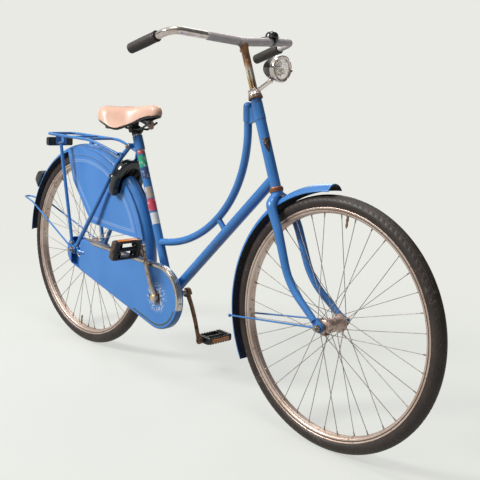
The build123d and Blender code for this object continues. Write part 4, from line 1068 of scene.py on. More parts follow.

# %% [markdown]
# The band is stainless strip with two rolled ridges. Its profile is worked out across the strip
# with two smooth bumps and carried round the front. A narrow lip turns over the case's face, and
# a dark strip of painted shade lies against it.

# %% Chain case band, lip and shade
trim_stop = crank_centre[2] - 0.022
band_path = case_path(0.0003, band_y, place(60, 0, 0)[0], trim_stop)
half_band = 9.6
w = np.linspace(-half_band, half_band, 31)
crown = 0.7 + 0.9 * np.clip(ridge(w, -3.6, 1.7) + ridge(w, 3.6, 1.7), 0, 1) + 0.25 * ridge(w, 0, 1.2)
crown *= wave(half_band - np.abs(w), -0.6, 1.2)
band_profile = np.concatenate([np.stack([-crown, w], 1), np.stack([0 * w, w[::-1]], 1)]) * MM
band = carried(band_path, band_profile, up=leftward)
add_piece("case_trim_band", [band], "band", "frame", replaces=("case_trim",), angle=35)

lip_start = place(98, 0, 0)[0]
lip_path = case_path(-0.0040, cover_y, lip_start, trim_stop, 200)
lip_sides = [(-3.9, -0.5), (-3.9, 0.5), (-2.0, 1.1), (1.5, 1.1), (3.9, 0.6), (3.9, -0.5)]
lip = carried(lip_path, eased(lip_sides, 0.4, 3) * MM, up=leftward)
add_piece("case_trim_lip", [lip], "band", "frame", angle=40)
# A dark strip of painted shade along the inside of the lip.
shade_path = case_path(-0.0087, cover_y, lip_start, trim_stop, 200)
shade = carried(shade_path, rounded_box(0.9, 0.45, 0.3, 3) * MM, up=leftward)
add_piece("case_trim_shade", [shade], "seam", "frame", angle=60)
print("band", len(band_path), "steps long")

# %% [markdown]
# Under the crank the front cover meets the long part in a seam. It follows the case's outline a
# little further in, so it is cut from a smaller copy of that outline.

# %% Chain case seam
seam_line = case_line(-0.0145, 1400)
below = seam_line[:, 1] < case_front[1] - 0.022
ahead = seam_line[:, 0] > case_front[0] - 0.118
seam_line = seam_line[below & ahead]
along_seam = np.array([0.82, 0.57])
seam_line = seam_line[np.argsort(seam_line @ along_seam)][::8]
seam_y = cover_y + 0.05 * MM
seam_path = np.stack([seam_line[:, 0], np.full(len(seam_line), seam_y), seam_line[:, 1]], 1)
seam_sides = np.array([(-2.4, -0.3), (2.4, -0.3), (1.8, 0.3), (-1.8, 0.3)]) * MM
add_piece("case_seam", [carried(seam_path, seam_sides, up=leftward)], "seam", "frame", angle=60)
print("seam", len(seam_path), "steps long")

# %% [markdown]
# ## Saddle
# The saddle is foam under a stretched vinyl skin: two wings at the back, a dip before them, a
# long nose, and flaps that hang lowest at the sides. Two closed lines shape it: the shoulder,
# where the top turns down, and the lower edge. Each rib of the skin is a curve from the spine to
# that edge which the shoulder pulls outwards.

# %% Saddle skin
saddle_stations = np.array([
    (163, 0, 4, 165.5, 0, -19), (160, 9, 5, 162, 10, -19.5), (153, 15, 7, 153, 17, -21),
    (138, 18.5, 9, 138, 21, -24), (112, 20, 9, 112, 24.5, -30), (86, 23, 6, 86, 30, -40),
    (62, 29, 2, 68, 38, -49), (40, 37, -1, 51, 52, -59), (18, 50, -1, 34, 74, -69),
    (-6, 66, 1, 12, 85, -67), (-32, 79, 3, -14, 89, -58), (-58, 80, 3, -44, 88, -49),
    (-78, 66, 0, -68, 77, -43), (-87, 38, -4, -84, 50, -39), (-89, 12, -6, -88, 18, -37)], float)
spine_heights = [(-92, -14), (-72, -6), (-48, -4), (-20, -4.5), (10, -4), (45, 0), (85, 6), (122, 10.5),
                 (146, 11), (162, 6)]
skin_steps = 35
hollow_height = -24.0


def saddle_skin():
    """Ribs by the rational cubic: (sum of w b P) / (sum of w b), with b the four Bernstein terms
    of f, P the spine, shoulder, side and edge, and weights w of 1, 2.4, 1.5 and 1. The stations
    are in millimetres: the shoulder's x, y and z, then the edge's."""
    mirrored = saddle_stations[:0:-1] * (1, -1, 1, 1, -1, 1)
    line = through(np.concatenate([saddle_stations, mirrored]), 192, closed=True)
    shoulder, edge = line[:, :3], line[:, 3:]
    heights = through(spine_heights, 240)
    spine_x = np.clip(shoulder[:, 0], -50, 140)
    spine = np.stack([spine_x, 0 * spine_x, np.interp(spine_x, heights[:, 0], heights[:, 1])], 1)
    waist = wave(np.abs(edge[:, 1]) - np.abs(shoulder[:, 1]), 4, 20)[:, None]
    side = shoulder * (0.6 + 0.25 * waist) + edge * (0.4 - 0.25 * waist)
    side[:, :2] *= 1.035 - 0.02 * waist
    side[:, 2] = shoulder[:, 2] + (edge[:, 2] - shoulder[:, 2]) * 0.62
    f = np.concatenate([np.linspace(0, 0.3, 8)[:-1], np.linspace(0.3, 1, skin_steps - 7)])
    f = f[:, None, None]
    shares = [(1 - f) ** 3, 7.2 * f * (1 - f) ** 2, 4.5 * f**2 * (1 - f), f**3]
    total = shares[0] * spine + shares[1] * shoulder + shares[2] * side + shares[3] * edge
    return total / sum(shares)


skin = saddle_skin()
skin_edge = skin[-1]
lip = np.stack([skin_edge * (0.985, 0.98, 1.0) + (0, 0, -1.2), skin_edge * (0.965, 0.955, 1.0) + (0, 0, 0.4)])
inner = skin[-14:-2][::-1] * (0.95, 0.92, 1.0)
inner[..., 2] = np.minimum(inner[..., 2], hollow_height)
hollow = np.stack([inner[-1] * (0.6, 0.5, 1.0), inner[-1] * (0.6, 0.0, 1.0)])
hollow[..., 2] = hollow_height
pad = over(np.concatenate([skin, lip, inner, hollow]) * MM, wrap_columns=True)
saddle = add_piece("saddle_pad", [pad], "vinyl", "frame", replaces=("saddle_cover",),
                   angle=70, subdivide=1)
print("saddle", round(float(np.ptp(skin[..., 0]))), "by", round(float(np.ptp(skin[..., 1]))), "mm")

# %% [markdown]
# A black plastic edging grips the lower edge of the skin all round, and a small tab of the same
# vinyl hangs under the nose. The edging is an upright oval carried along the skin's own edge, so
# that the two can't come apart. The tab is a slab with soft rims.

# %% Saddle tab and edging
tab_across, tab_ahead = unit((0.3, 0.95, 0)), unit((0.95, -0.3, 0))
tab = slab(rounded_box(9.0, 13.5, 6.5), (0.1176, 0.003, -0.0545), tab_across, (0, 0, 1), tab_ahead, 3.4, 1.4)
add_piece("saddle_tag", [tab], "vinyl", "frame", angle=50)
edging_path = (skin_edge * (0.975, 0.965, 1.0) + (0, 0, -2.4)) * MM
edging = carried(edging_path, circle(0.0019, 12, 2.6), up=(0, 0, 1), closed=True)
add_piece("saddle_edging", [edging], "gloss black", "frame", angle=60)
print("edging", len(edging_path), "steps round")

# %% [markdown]
# ## Grips, bell and headset
# These are nearly all turned shapes, a profile round an axis. A grip is a rubber tube with fine
# ribs along it, a few plain rings across it and a collar at its inner end. The ribs are shallow
# and regular, so they are a cosine taken off the radius.

# %% Grips
bar_top = steer_place(430.0)
grip_start = {s: bar_top + np.array([-191.3, s * 251.0, -37.0]) * MM for s in (-1, 1)}
knee = {s: bar_top + np.array([-28.3, s * 240.0, 16.0]) * MM for s in (-1, 1)}
grip_radius = 15.0
grip_ribs = 26
ring_pitch = 12.6


def grip_surface(side):
    """A round bar whose radius swells by 0.6 mm halfway along, and loses 0.28 (1 + cos(grip_ribs
    t)) mm at its ribs and 0.35 mm at its rings. A dome closes its outer end, and a collar ends
    the inner one."""
    along = unit(knee[side] - grip_start[side])
    dome = np.linspace(0, np.pi / 2, 8)
    collar = [102.5, 104, 105, 110, 111.5, 112.3, 112.4]
    h = np.concatenate([-5 * np.cos(dome), np.linspace(1, 101, 70), collar])
    swell = 0.6 * np.sin(np.linspace(0, np.pi, 70))
    r = np.concatenate([grip_radius * np.sin(np.linspace(0.02, np.pi / 2, 8)), grip_radius + swell,
                        [14.6, 14.4, 15.6, 16.0, 15.6, 14.4, 11.3]])
    t = full_turn(4 * grip_ribs)[None]
    inside = (wave(h, 3, 8) * (1 - wave(h, 98, 101)))[:, None]
    rings = wave(np.cos(h / ring_pitch * 2 * np.pi), 0.90, 0.99)[:, None]
    ribs = 0.28 * (1 + np.cos(grip_ribs * t)) * (1 - rings)
    radius = r[:, None] - (ribs + 0.35 * rings) * inside
    a = unit(np.cross(along, (0, 0, 1)))
    b = np.cross(along, a)
    ring = np.cos(t)[..., None] * a + np.sin(t)[..., None] * b
    points = grip_start[side] + (h[:, None, None] * along + radius[..., None] * ring) * MM
    pole = np.repeat(points[:1].mean(1, keepdims=True), points.shape[1], 1)
    return over(np.concatenate([pole, points]), wrap_columns=True)


grips = [grip_surface(-1), grip_surface(1)]
add_piece("grip_rubbers", grips, "grip", "fork", replaces=("grips",), angle=50)
print("grips", 2 * grip_radius, "mm thick")

# %% [markdown]
# The bell is a glossy dome over a round base, held by a strap round the bar, with a flat thumb
# lever. The lever is the one part that isn't turned: it is an oval carried along a short bend.

# %% Bell
bell_up = np.array([0, 0, 1.0])
bell_foot = bar_top + (knee[1] - bar_top) * (box_centre("bell")[1] / knee[1][1])
bell_base = bell_foot + bell_up * 0.0135
dome = [(0, 19.6), (6, 19.2), (12.5, 17.0), (17.4, 12.0), (19.4, 6.0), (19.8, 3.6), (20.8, 3.0),
        (20.8, 2.2), (17, 2.2), (15, 4)]
base = [(0, -1), (17, -1), (22.4, -0.6), (23, 0.4), (23, 1.6), (21, 2.2), (0, 2.2)]
knob = [(0, 20.6), (2.2, 20.4), (3.0, 19.8), (3.2, 18.8), (0, 18)]
strap = lathe([(11.4, -6), (14, -6), (14, 6), (11.4, 6), (11.4, -6)], bell_foot, knee[1] - bar_top, turns=36)
post = lathe([(0, 9), (6, 9), (6, 13.5), (0, 13.5)], bell_foot, bell_up, turns=20)
lever_bends = np.array([(-4, -6, 0.4), (-20, -14, 0.4), (-31, -17, -3)])
lever_path = eased(bell_base + lever_bends * MM, 8 * MM)
lever = carried(lever_path, circle(np.linspace(3.2, 4.2, len(lever_path)) * MM, 12, 0.45), up=bell_up)
bell = [lathe(dome, bell_base, bell_up, 56, 3, 4), lathe(base, bell_base, bell_up, 56, 0.6),
        lathe(knob, bell_base, bell_up, 20), strap, post, lever]
add_piece("bell_dome", bell, "gloss black", "fork", replaces=("bell",), angle=40)
print("bell in", len(bell), "parts")

# %% [markdown]
# The headset is a stack of rings round the steering axis: a cup pressed into each end of the head
# tube, races that turn with the fork, and nuts on top. All the profiles use one scale, which is
# millimetres up from the foot of the head tube. The cups stay with the frame when the bar turns.

# %% Headset
lower_cup = [(13.9, -8), (20.0, -8), (20.6, -7.2), (20.6, -3.5), (19.6, -2.6), (18.6, -1.2), (18.2, 0),
             (13.9, 0)]
upper_cup = [(13.9, 260), (18.2, 260), (18.8, 261.2), (20.0, 262.4), (20.6, 263.4), (20.6, 267.2),
             (19.8, 268), (13.9, 268)]
rusty_edge = [(15, 258.6), (19.4, 258.6), (20.9, 259.6), (21.0, 262.2), (19.6, 262.8), (15, 262.8)]
lower_race = [(12.9, -13.2), (18.4, -13.2), (19.4, -12.6), (19.8, -11), (19.4, -9.2), (18.4, -8.5),
              (12.9, -8.5)]
top_race = [(13, 268.3), (18.6, 268.3), (19.6, 269.2), (19.8, 270.6), (19.2, 272.6), (18.4, 273.6),
            (13, 273.6)]
washer = [(12.9, 273.9), (18.4, 273.9), (18.7, 274.7), (18.4, 275.6), (12.9, 275.6)]
lock_nut = [(12.9, 275.9), (19.0, 275.9), (19.6, 276.5), (19.6, 281), (18.6, 282.2), (12.9, 282.2)]


def stacked(profile, turns=64):
    """A profile of (radius, millimetres up the steering axis), closed and turned round it."""
    return lathe(profile + profile[:1], head_foot, steer_up, turns)


add_piece("headset_lower_cup", [stacked(lower_cup)], "copper rust", "frame",
          replaces=("headset_cups",), angle=30)
add_piece("headset_upper_cup", [stacked(upper_cup)], "brown chrome", "frame", angle=30)
add_piece("headset_edge", [stacked(rusty_edge)], "rust", "frame", angle=30)
nuts = [stacked(top_race), stacked(washer), stacked(lock_nut, 8)]
add_piece("headset_nuts", nuts, "chrome", "fork", angle=30)
add_piece("headset_lower_race", [stacked(lower_race)], "copper rust", "fork", angle=30)
print("headset", lock_nut[-1][1] - lower_race[0][1], "mm tall")

# %% [markdown]
# A thick pale sleeve covers the middle of the handlebar, and a collar with two rolls clamps it to
# the stem. The sleeve is a circle carried along the bar's own line, with a girth that drops at
# both ends. The stem is one turned post that swells under the bar, with a small pinch bolt.

# %% Handlebar sleeve and stem
bar_way = {s: unit(knee[s] - bar_top) for s in (-1, 1)}
sleeve_bends = np.array([bar_way[-1] * 128, bar_way[-1] * 20, bar_way[1] * 20, bar_way[1] * 196]) * MM
sleeve_line = eased(bar_top + sleeve_bends, 12 * MM)
sleeve_length = np.linalg.norm(np.diff(sleeve_line, axis=0), axis=1).sum()
sleeve_path = evenly(sleeve_line, 60)
share = np.linspace(0, 1, len(sleeve_path))
girth = 0.0112 + 0.0014 * wave(np.minimum(share, 1 - share) * sleeve_length, -0.001, 0.006)
sleeve = carried(sleeve_path, circle(girth, 32), up=(0, 0, 1))
rolls = [(12.4, -15), (13.3, -14.4), (13.5, -1.1), (12.9, -0.7), (12.9, 0.7), (13.5, 1.1), (13.3, 14.4),
         (12.4, 15)]
collar = lathe(rolls, bar_top, leftward, 56, 0.4)
add_piece("bar_sleeve", [sleeve, collar], "bar metal", "fork", angle=50)
post = [(0, 276), (11.0, 276), (11.0, 398), (11.6, 408), (13.4, 418), (13.2, 424), (0, 424)]
add_piece("stem_post", [lathe(post, head_foot, steer_up, 48, 3, 4)], "stem metal", "fork",
          replaces=("stem",), angle=50)
bolt = [(0, 9), (5.6, 9), (5.8, 9.6), (5.8, 15.4), (5.2, 16), (0, 16)]
add_piece("stem_pinch", [lathe(bolt, bar_top - steer_up * 21 * MM, -steer_forward, 6)], "brown chrome",
          "fork", angle=35)
print("bar centre at", [round(float(v), 3) for v in bar_top])

# %% [markdown]
# ## Headlamp
# The lamp is a black bowl turned round its beam, closed by a bright rim with notches. The rim is
# a ring whose profile loses a little radius and depth at eight even angles, which is simpler and
# cleaner than cutting eight notches out of it.

# %% Headlamp bowl and rim
lamp_face = steer_place(302.5, 122.2)
beam = np.array([1.0, 0, 0])
bowl = [(0, -64), (9, -63.2), (20, -57), (28.6, -43), (33.0, -28), (34.6, -16), (34.2, -14.5), (31, -14.5),
        (28, -19), (0, -40)]
add_piece("lamp_bowl", [lathe(bowl, lamp_face, beam, 72, 4, 5)], "gloss black", "fork",
          replaces=("lamp_shell",), angle=40)


def lamp_rim_surface():
    """A ring whose outer radius loses 2.2 mm, and whose face loses 1.6 mm, in eight short notches
    where cos(8 t + 0.4) is near 1."""
    profile = np.array([(32.2, -16.5), (35.2, -16.5), (36.2, -15.8), (36.6, -9), (37.0, -7.4), (37.0, -2.0),
                        (36.4, -0.7), (34.6, 0), (31.6, -0.4), (29.6, -1.6), (29.2, -5), (32.2, -16.5)])
    radius, height = profile[:, :1], profile[:, 1:]
    t = full_turn(192)[None]
    notch = wave(np.cos(8 * t + 0.4), 0.62, 0.8) * wave(height, -6.8, -5)
    r = (radius - 2.2 * notch * wave(radius, 34.8, 36.2)) * MM
    h = (height - 1.6 * notch * wave(radius, 33, 35)) * MM
    points = lamp_face + np.stack([h, r * np.cos(t), r * np.sin(t)], 2)
    return over(points, wrap_columns=True)


add_piece("lamp_rim_ring", [lamp_rim_surface()], "chrome", "fork", replaces=("lamp_rim",),
          angle=35)
print("lamp face at", [round(float(v), 3) for v in lamp_face])

# %% [markdown]
# Behind the clear lens lies a bright dish with three small bulbs, each in its own cup. The lens
# has real thickness, so that it bends light as glass does, and the bulbs stand off it.

# %% Headlamp dish, lens and bulbs
dish = [(31.5, -4.5), (30, -8), (24, -13), (15, -17), (6, -18.6), (0, -18.8)]
add_piece("lamp_dish", [lathe(dish, lamp_face, beam, 64, 3, 5)], "dish", "fork", angle=60)
lens = [(0, -1.2), (14, -1.5), (25, -2.6), (31.5, -4.6), (31.3, -6), (24, -4.6), (13, -3.4), (0, -3.1)]
add_piece("lamp_glass", [lathe(lens, lamp_face, beam, 64, 2, 4)], "clear", "fork",
          replaces=("lamp_lens",), angle=40)
bulb = [(0, 9), (3.4, 8.4), (5.0, 6), (5.2, 0), (5.6, -0.4), (0, -0.5)]
cup = [(9.2, 5), (8.6, 5.2), (6, 0.8), (5.2, -0.8), (9, -0.8), (9.2, 5)]
bulb_circle = 12.0
bulb_depth = 17.2
bulbs, cups = [], []
for degrees in (90, 210, 330):
    turn = math.radians(degrees)
    offset = np.array([-bulb_depth, bulb_circle * math.cos(turn), bulb_circle * math.sin(turn)])
    spot = lamp_face + offset * MM
    bulbs.append(lathe(bulb, spot, beam, 20, 1, 4))
    cups.append(lathe(cup, spot, beam, 24, 0.5))
add_piece("lamp_bulbs", bulbs, "bulb", "fork", angle=50)
add_piece("lamp_bulb_cups", cups, "dish", "fork", angle=50)
print("bulbs", len(bulbs))

# %% [markdown]
# A red push switch stands on the bowl's left side. The lamp sits on a bent steel arm, which ends
# in a ring round the headset and in an ear under the bowl, with a screw across it. The arm is a
# rounded strip carried along a line with eased bends.

# %% Headlamp switch and arm
switch = [(0, 35.8), (3.6, 35.8), (3.6, 41.4), (2.8, 43.0), (0, 43.4)]
switch_way = (0, 0.995, -0.1)
button = lathe(switch, lamp_face - beam * 5 * MM, switch_way, 16)
add_piece("lamp_switch", [button], "red", "fork", angle=40)
ear_place = lamp_face + np.array([-44, 0, -34]) * MM
arm_bends = [steer_place(279, 10), steer_place(281, 21), lamp_face + np.array([-62, 0, -46]) * MM,
             lamp_face + np.array([-40, 0, -31]) * MM]
strip = carried(eased(arm_bends, 12 * MM, 5), rounded_box(6.0, 2.3, 1.1, 4) * MM, up=leftward)
ear = lathe([(0, -4.6), (6.6, -4.6), (7, -4.2), (7, 4.2), (6.6, 4.6), (0, 4.6)], ear_place, leftward, 28)
screw = lathe([(0, -7.6), (4.2, -7.6), (4.2, 7.6), (0, 7.6)], ear_place, leftward, 6)
collar = stacked([(11.4, 282.8), (17.8, 282.8), (18.2, 283.3), (18.2, 286.0), (17.8, 286.4), (11.4, 286.4)])
add_piece("lamp_arm", [strip, ear, screw, collar], "chrome", "fork",
          replaces=("lamp_bracket",), angle=35)
print("arm reaches", round(float(np.linalg.norm(arm_bends[-1] - arm_bends[0])), 3), "m")

# %% [markdown]
# ## Cranks and pedals
# A cottered crank is forged steel: a round boss held by a wedge pin and its nut, an arm of oval
# section with a slight bend outwards, and an eye for the pedal. The arm is an oval carried along
# a short curve, with its half-widths changing on the way. The right one is less rusty than the
# left one and has a brass cap over the axle's end.

# %% Cranks
pedal_points = {name: np.array(joints[name + "_spin"]["pos_m"]) for name in ("pedal_right", "pedal_left")}
crank_reach = (pedal_points["pedal_right"] - crank_centre) * (1, 0, 1)
crank_length = float(np.linalg.norm(crank_reach)) / MM
crank_out = unit(crank_reach)
crank_plane = 70.0
oval_power = 0.75


def crank_parts(side):
    """The boss, arm and eye, and then the wedge pin with its nut, of one crank; side is 1 on the
    left and -1 on the right. The oval is (c |c|^-0.25 a, s |s|^-0.25 b), with c and s the cosine
    and sine of t, which is a little squarer than an ellipse."""
    out = crank_out * -side
    y = leftward * side
    h = np.linspace(0, 1, 40)
    reach = h[:, None] * crank_length * MM * out
    sway = (crank_plane + 2.4 * wave(h, 0.06, 0.3) - 1.4 * wave(h, 0.6, 0.95))[:, None] * MM * y
    bow = np.cross(out, y) * (2.2 * np.sin(np.pi * h) ** 2 * side)[:, None] * MM
    half = 8.6 - 1.6 * h + 4.2 * (ridge(h, 0, 0.07) + ridge(h, 1, 0.07))
    thick = 5.4 - 0.6 * h
    t = full_turn(28)[None]
    oval = np.stack([np.sign(np.cos(t)) * np.abs(np.cos(t)) ** oval_power * thick[:, None],
                     np.sign(np.sin(t)) * np.abs(np.sin(t)) ** oval_power * half[:, None]], 2) * MM
    arm = carried(crank_middle + reach + sway + bow, oval, up=np.cross(y, out))
    boss = [(0, 63.2), (12.6, 63.2), (14, 64.4), (14, 76.6), (12.8, 77.4), (9.2, 77.5), (8.6, 77.2),
            (0, 77.2)]
    eye = [(0, 66.2), (9.6, 66.2), (11, 67.2), (11, 76.6), (10, 77.4), (0, 77.4)]
    pin = [(0, -19), (3.4, -19), (4.6, -14), (4.8, 15), (4.4, 17), (0, 17.4)]
    nut = [(0, -18), (6.2, -18), (6.4, -17.4), (6.4, -14.6), (7.4, -14.4), (7.4, -13.6), (0, -13.6)]
    pin_axis = unit(np.cross(out, y))
    pin_place = crank_middle + (y * (crank_plane + 0.2) + out * 8.5) * MM
    forged = [arm, lathe(boss, crank_middle, y, 40, 0.8),
              lathe(eye, crank_middle + out * crank_length * MM, y, 36, 0.8)]
    return forged, [lathe(pin, pin_place, pin_axis, 20), lathe(nut, pin_place, pin_axis, 6)]


for name, side, kind, pin_kind in (("left", 1, "rust", "steel"), ("right", -1, "crank metal", "rust")):
    forged, wedge = crank_parts(side)
    add_piece("crank_forging_" + name, forged, kind, "cranks", replaces=("crank_" + name,),
              angle=40)
    add_piece("crank_pin_" + name, wedge, pin_kind, "cranks", angle=35)
cap = [(0, 77.0), (9.6, 77.0), (10.2, 77.6), (9.8, 79.0), (7.6, 79.8), (0, 80)]
add_piece("crank_cap_right", [lathe(cap, crank_middle, -leftward, 36, 0.6)], "pale brass", "cranks",
          angle=40)
print("cranks", round(crank_length, 1), "mm")

# %% [markdown]
# A pedal of this kind is an open plastic frame: two long bars with ribs for the sole, a barrel
# round the spindle between them, an amber reflector on each bar and a cap over the outer bearing.
# Nearly all of it is slabs with soft rims. Each is placed by three directions of the pedal's own
# turned frame, so that one function makes both pedals.

# %% Pedals
pedal_near = 85.5
bar_offset = 28.2


def dress_pedal(name, side, tilt):
    """An open pedal: two long bars, a barrel round the spindle and two end plates, with ribs for
    the sole, amber reflectors on the bars and a cap outside. Side is 1 on the left and -1 on the
    right, and tilt is how far the pedal's front points up, in degrees."""
    y = leftward * side
    near = pedal_points[name] * (1, 0, 1) + y * pedal_near * MM
    ahead, up = wheel_way(tilt), wheel_way(tilt + 90)
    body, lamps = [], []

    def block(outline, out, forward, rise, a, b, c, thick, soft):
        """A slab whose foot is given in millimetres outwards, forwards and up."""
        return slab(outline, near + (y * out + ahead * forward + up * rise) * MM, a, b, c, thick, soft)

    for end in (-1, 1):
        body.append(block(rounded_box(3.6, 9.5, 2.4, 5), 1, end * bar_offset, 0, ahead, up, y, 102.5, 1.2))
        lamps.append(block(rounded_box(37, 6.6, 2.5), 52.5, end * 31.4, 0, y, up, ahead * end, 2.4, 0.8))
        for count in range(8):
            for level in (-1, 1):
                body.append(block(rounded_box(2.4, 3.2, 1.8, 4), 13 + 11.2 * count, end * bar_offset,
                                  level * 8.6, y, ahead, up * level, 3.0, 0.9))
    bite = np.radians(np.linspace(-90, 90, 13))
    round_end = np.stack([17.5 - 9.0 * np.cos(bite), 9.0 * np.sin(bite)], 1)
    filler = np.concatenate([[(0, 9.8), (0, -9.8), (17.5, -9.8)], round_end, [(17.5, 9.8)]])
    for end in (-1, 1):
        for start, turn_in in ((9.0, 1), (93.0, -1)):
            body.append(block(filler, start, end * 16.6, -8.8, y * turn_in, ahead, up, 17.6, 0.6))
    barrel = [(0, 0), (9.4, 0), (9.8, 1.2), (8.6, 10), (7.0, 22), (6.8, 84), (8.4, 94), (9.2, 104), (0, 104)]
    body.append(lathe(barrel, near, y, 32, 2, 4))
    body.append(block(rounded_box(31.5, 11.0, 8.0), 0, 0, 0, ahead, up, y, 12.0, 2.5))
    body.append(block(rounded_box(32.3, 12.6, 7.0), 91.5, 0, 0, ahead, up, y, 12.6, 2.5))
    for level in (-1, 1):
        body.append(block(rounded_box(42, 3.0, 2.2), 52, 0, level * 6.2, y, ahead, up * level, 2.4, 0.9))
    cap = block(rounded_box(29.5, 10.6, 5.5), 103.6, 0, 0, ahead, up, y, 2.4, 1.1)
    nut = [(0, 105.6), (7.6, 105.6), (8.2, 106.2), (8.0, 107.6), (6.4, 108.8), (0, 109)]
    add_piece(name + "_body", body, "black", name, replaces=(name,), angle=40)
    add_piece(name + "_reflectors", lamps, "amber", name, angle=35)
    add_piece(name + "_cap", [cap, lathe(nut, near, y, 28, 0.5)], "brown cap", name, angle=40)


dress_pedal("pedal_right", -1, 75.0)
dress_pedal("pedal_left", 1, 0.0)
print("pedals at", [round(float(v), 3) for v in pedal_points["pedal_right"]])

# %% [markdown]
# ## Ring lock, lamps and reflector at the back
# The lock is a horseshoe shell with soft edges, which two round clamps hold on the seat stays,
# and its bright bolt shows as an arc in the mouth. Half of its outline is drawn, as two lines and
# a quarter circle, and mirrored. A slab with very soft rims then gives the moulded look.

# %% Ring lock
lock_up = np.array([0.3489, 0, 0.9372])
lock_front = np.array([0.9372, 0, -0.3489])
stay_knee = rear_axle + (fender_radius + 21.5) * MM * wheel_way(57.8)
lock_thickness = 28.0
lock_centre = stay_knee + (lock_front * (lock_thickness / 2 + 12.5) + lock_up * 6) * MM
mouth = fender_half_width + 0.3 + guard_thickness + 2.8
mouth_top = -18.0
bolt_radius = mouth + 3.2


def lock_outline():
    """The horseshoe in millimetres, to the left and up: out along the lobe and back round the
    mouth, which is (mouth cos t, mouth_top - mouth + mouth sin t), and then the same mirrored."""
    outer = through([(0, 13), (22, 11), (40, 1), (53, -18), (60.5, -44), (62, -70), (61.5, -98), (56, -113),
                     (46.5, -117.5)], 60)
    lobe = eased([(46.5, -117.5), (37, -113), (33.5, -98), (mouth, -60)], 8, 6)[1:]
    t = np.radians(np.linspace(0, 90, 26))[1:]
    inner = np.stack([mouth * np.cos(t), mouth_top - mouth + mouth * np.sin(t)], 1)
    half = np.concatenate([outer, lobe, inner])
    return np.concatenate([half, (half * (-1, 1))[::-1][1:-1]])


lock_back = lock_centre - lock_front * lock_thickness / 2 * MM
body = slab(lock_outline(), lock_back, leftward, lock_up, lock_front, lock_thickness, 7.0)
add_piece("lock_body", [body], "gloss black", "frame", replaces=("ring_lock",), angle=60)
t = np.radians(np.linspace(-38, 218, 60))[:, None]
bolt_line = np.cos(t) * bolt_radius * leftward + (np.sin(t) * bolt_radius + mouth_top - mouth) * lock_up
bolt = carried(lock_centre + bolt_line * MM, circle(3.6 * MM, 12), up=lock_front)
add_piece("lock_bolt", [bolt], "chrome", "frame", angle=50)
clamp = [(0, -6), (9, -6), (9.6, -5), (9.6, 15), (9, 16), (0, 16)]
clamps = []
for s in (-1, 1):
    clamp_place = lock_centre + (leftward * s * 46 - lock_up * 60 - lock_front * 28) * MM
    clamps.append(lathe(clamp, clamp_place, lock_front, 28))
key_hub = [(0, 18.4), (6, 18.4), (7.4, 17.6), (8, 14), (8, 8), (0, 8)]
cylinder = lathe(key_hub, lock_centre - (leftward * 47 + lock_up * 92) * MM, lock_front, 28, 0.8)
add_piece("lock_clamps", [*clamps, cylinder], "gloss black", "frame", angle=40)
print("lock mouth", round(2 * mouth, 1), "mm")

# %% [markdown]
# The rack's reflector keeps its plain housing and gets a red face. The tail lamp sits on the
# rear fender, so its shell is drawn round the rear axle: its inner side follows the crown and
# its outer side stands 34 mm further out. It is drawn from the side and made a thick slab.

# %% Tail lamp and rack reflector
low, high = (np.array(v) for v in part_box("rack_reflector"))
face_place = (low[0] + 0.6 * MM, 0, (low[2] + high[2]) / 2)
red_face = slab(rounded_box(46, 11.5, 4), face_place, leftward, (0, 0, 1), (-1, 0, 0), 2.2, 0.8)
add_piece("rack_red_lens", [red_face], "red", "frame", angle=35)
tail_degrees = 146.0
tail_width = 42.0
crown_face = fender_radius + 0.4


def lamp_outline():
    """The tail lamp from the side, round the rear axle: back along the crown and forward 34 mm
    further out, with its corners eased."""
    inner_turn = math.radians(tail_degrees) + np.linspace(0.093, -0.093, 9)
    outer_turn = math.radians(tail_degrees) + np.linspace(-0.070, 0.060, 7)
    inner = crown_face * np.stack([np.cos(inner_turn), np.sin(inner_turn)], 1)
    reach = crown_face + np.array([22, 30, 33, 34, 34, 33, 29.0])
    outer = reach[:, None] * np.stack([np.cos(outer_turn), np.sin(outer_turn)], 1)
    return np.concatenate([inner, eased(outer, 9, 5)])


tail_out, tail_along = wheel_way(tail_degrees), wheel_way(tail_degrees + 90)
shell_side = rear_axle + leftward * tail_width / 2 * MM
shell = slab(lamp_outline(), shell_side, (1, 0, 0), (0, 0, 1), -leftward, tail_width, 5.0)
add_piece("tail_lamp_shell", [shell], "black", "frame", replaces=("tail_lamp",), angle=50)
lens_place = rear_axle + (tail_out * (crown_face + 33.2) + tail_along * 3) * MM
lens = slab(rounded_box(14.5, 15.5, 4), lens_place, leftward, tail_along, tail_out, 1.6, 0.7)
add_piece("tail_red_lens", [lens], "red", "frame", angle=35)
print("tail lamp", tail_width, "mm wide")

# %% [markdown]
# ## Patches, seams and nuts
# The seat tube carries six plain coloured patches, most of them a few millimetres apart. A patch
# could be painted into the tube's material, but its edge is really a step. So each is a thin
# curved skin, a quarter of a millimetre proud of the paint.

# %% Patches on the seat tube
seat_angle = 67.2
seat_up = wheel_way(180 - seat_angle)
seat_front = np.array([seat_up[2], 0, -seat_up[0]])
seat_tube_radius = 14.3
patch_lift = 0.25


def patch(start, stop, turn_low, turn_high):
    """A thin skin on the seat tube between two heights and two angles, square to it: foot +
    h times the tube's direction + r (cos t, sin t) across it, with t from the front to the right."""
    h = np.linspace(start, stop, 14)[:, None, None]
    t = np.radians(np.linspace(turn_low, turn_high, 22))[None, :, None]
    ring = np.cos(t) * seat_front - np.sin(t) * leftward
    outer = crank_middle + (h * seat_up + (seat_tube_radius + patch_lift) * ring) * MM
    inner = crank_middle + (h * seat_up + (seat_tube_radius - 0.1) * ring) * MM
    return over(np.concatenate([outer, inner[:, ::-1]], 1), wrap_columns=True, caps=True)


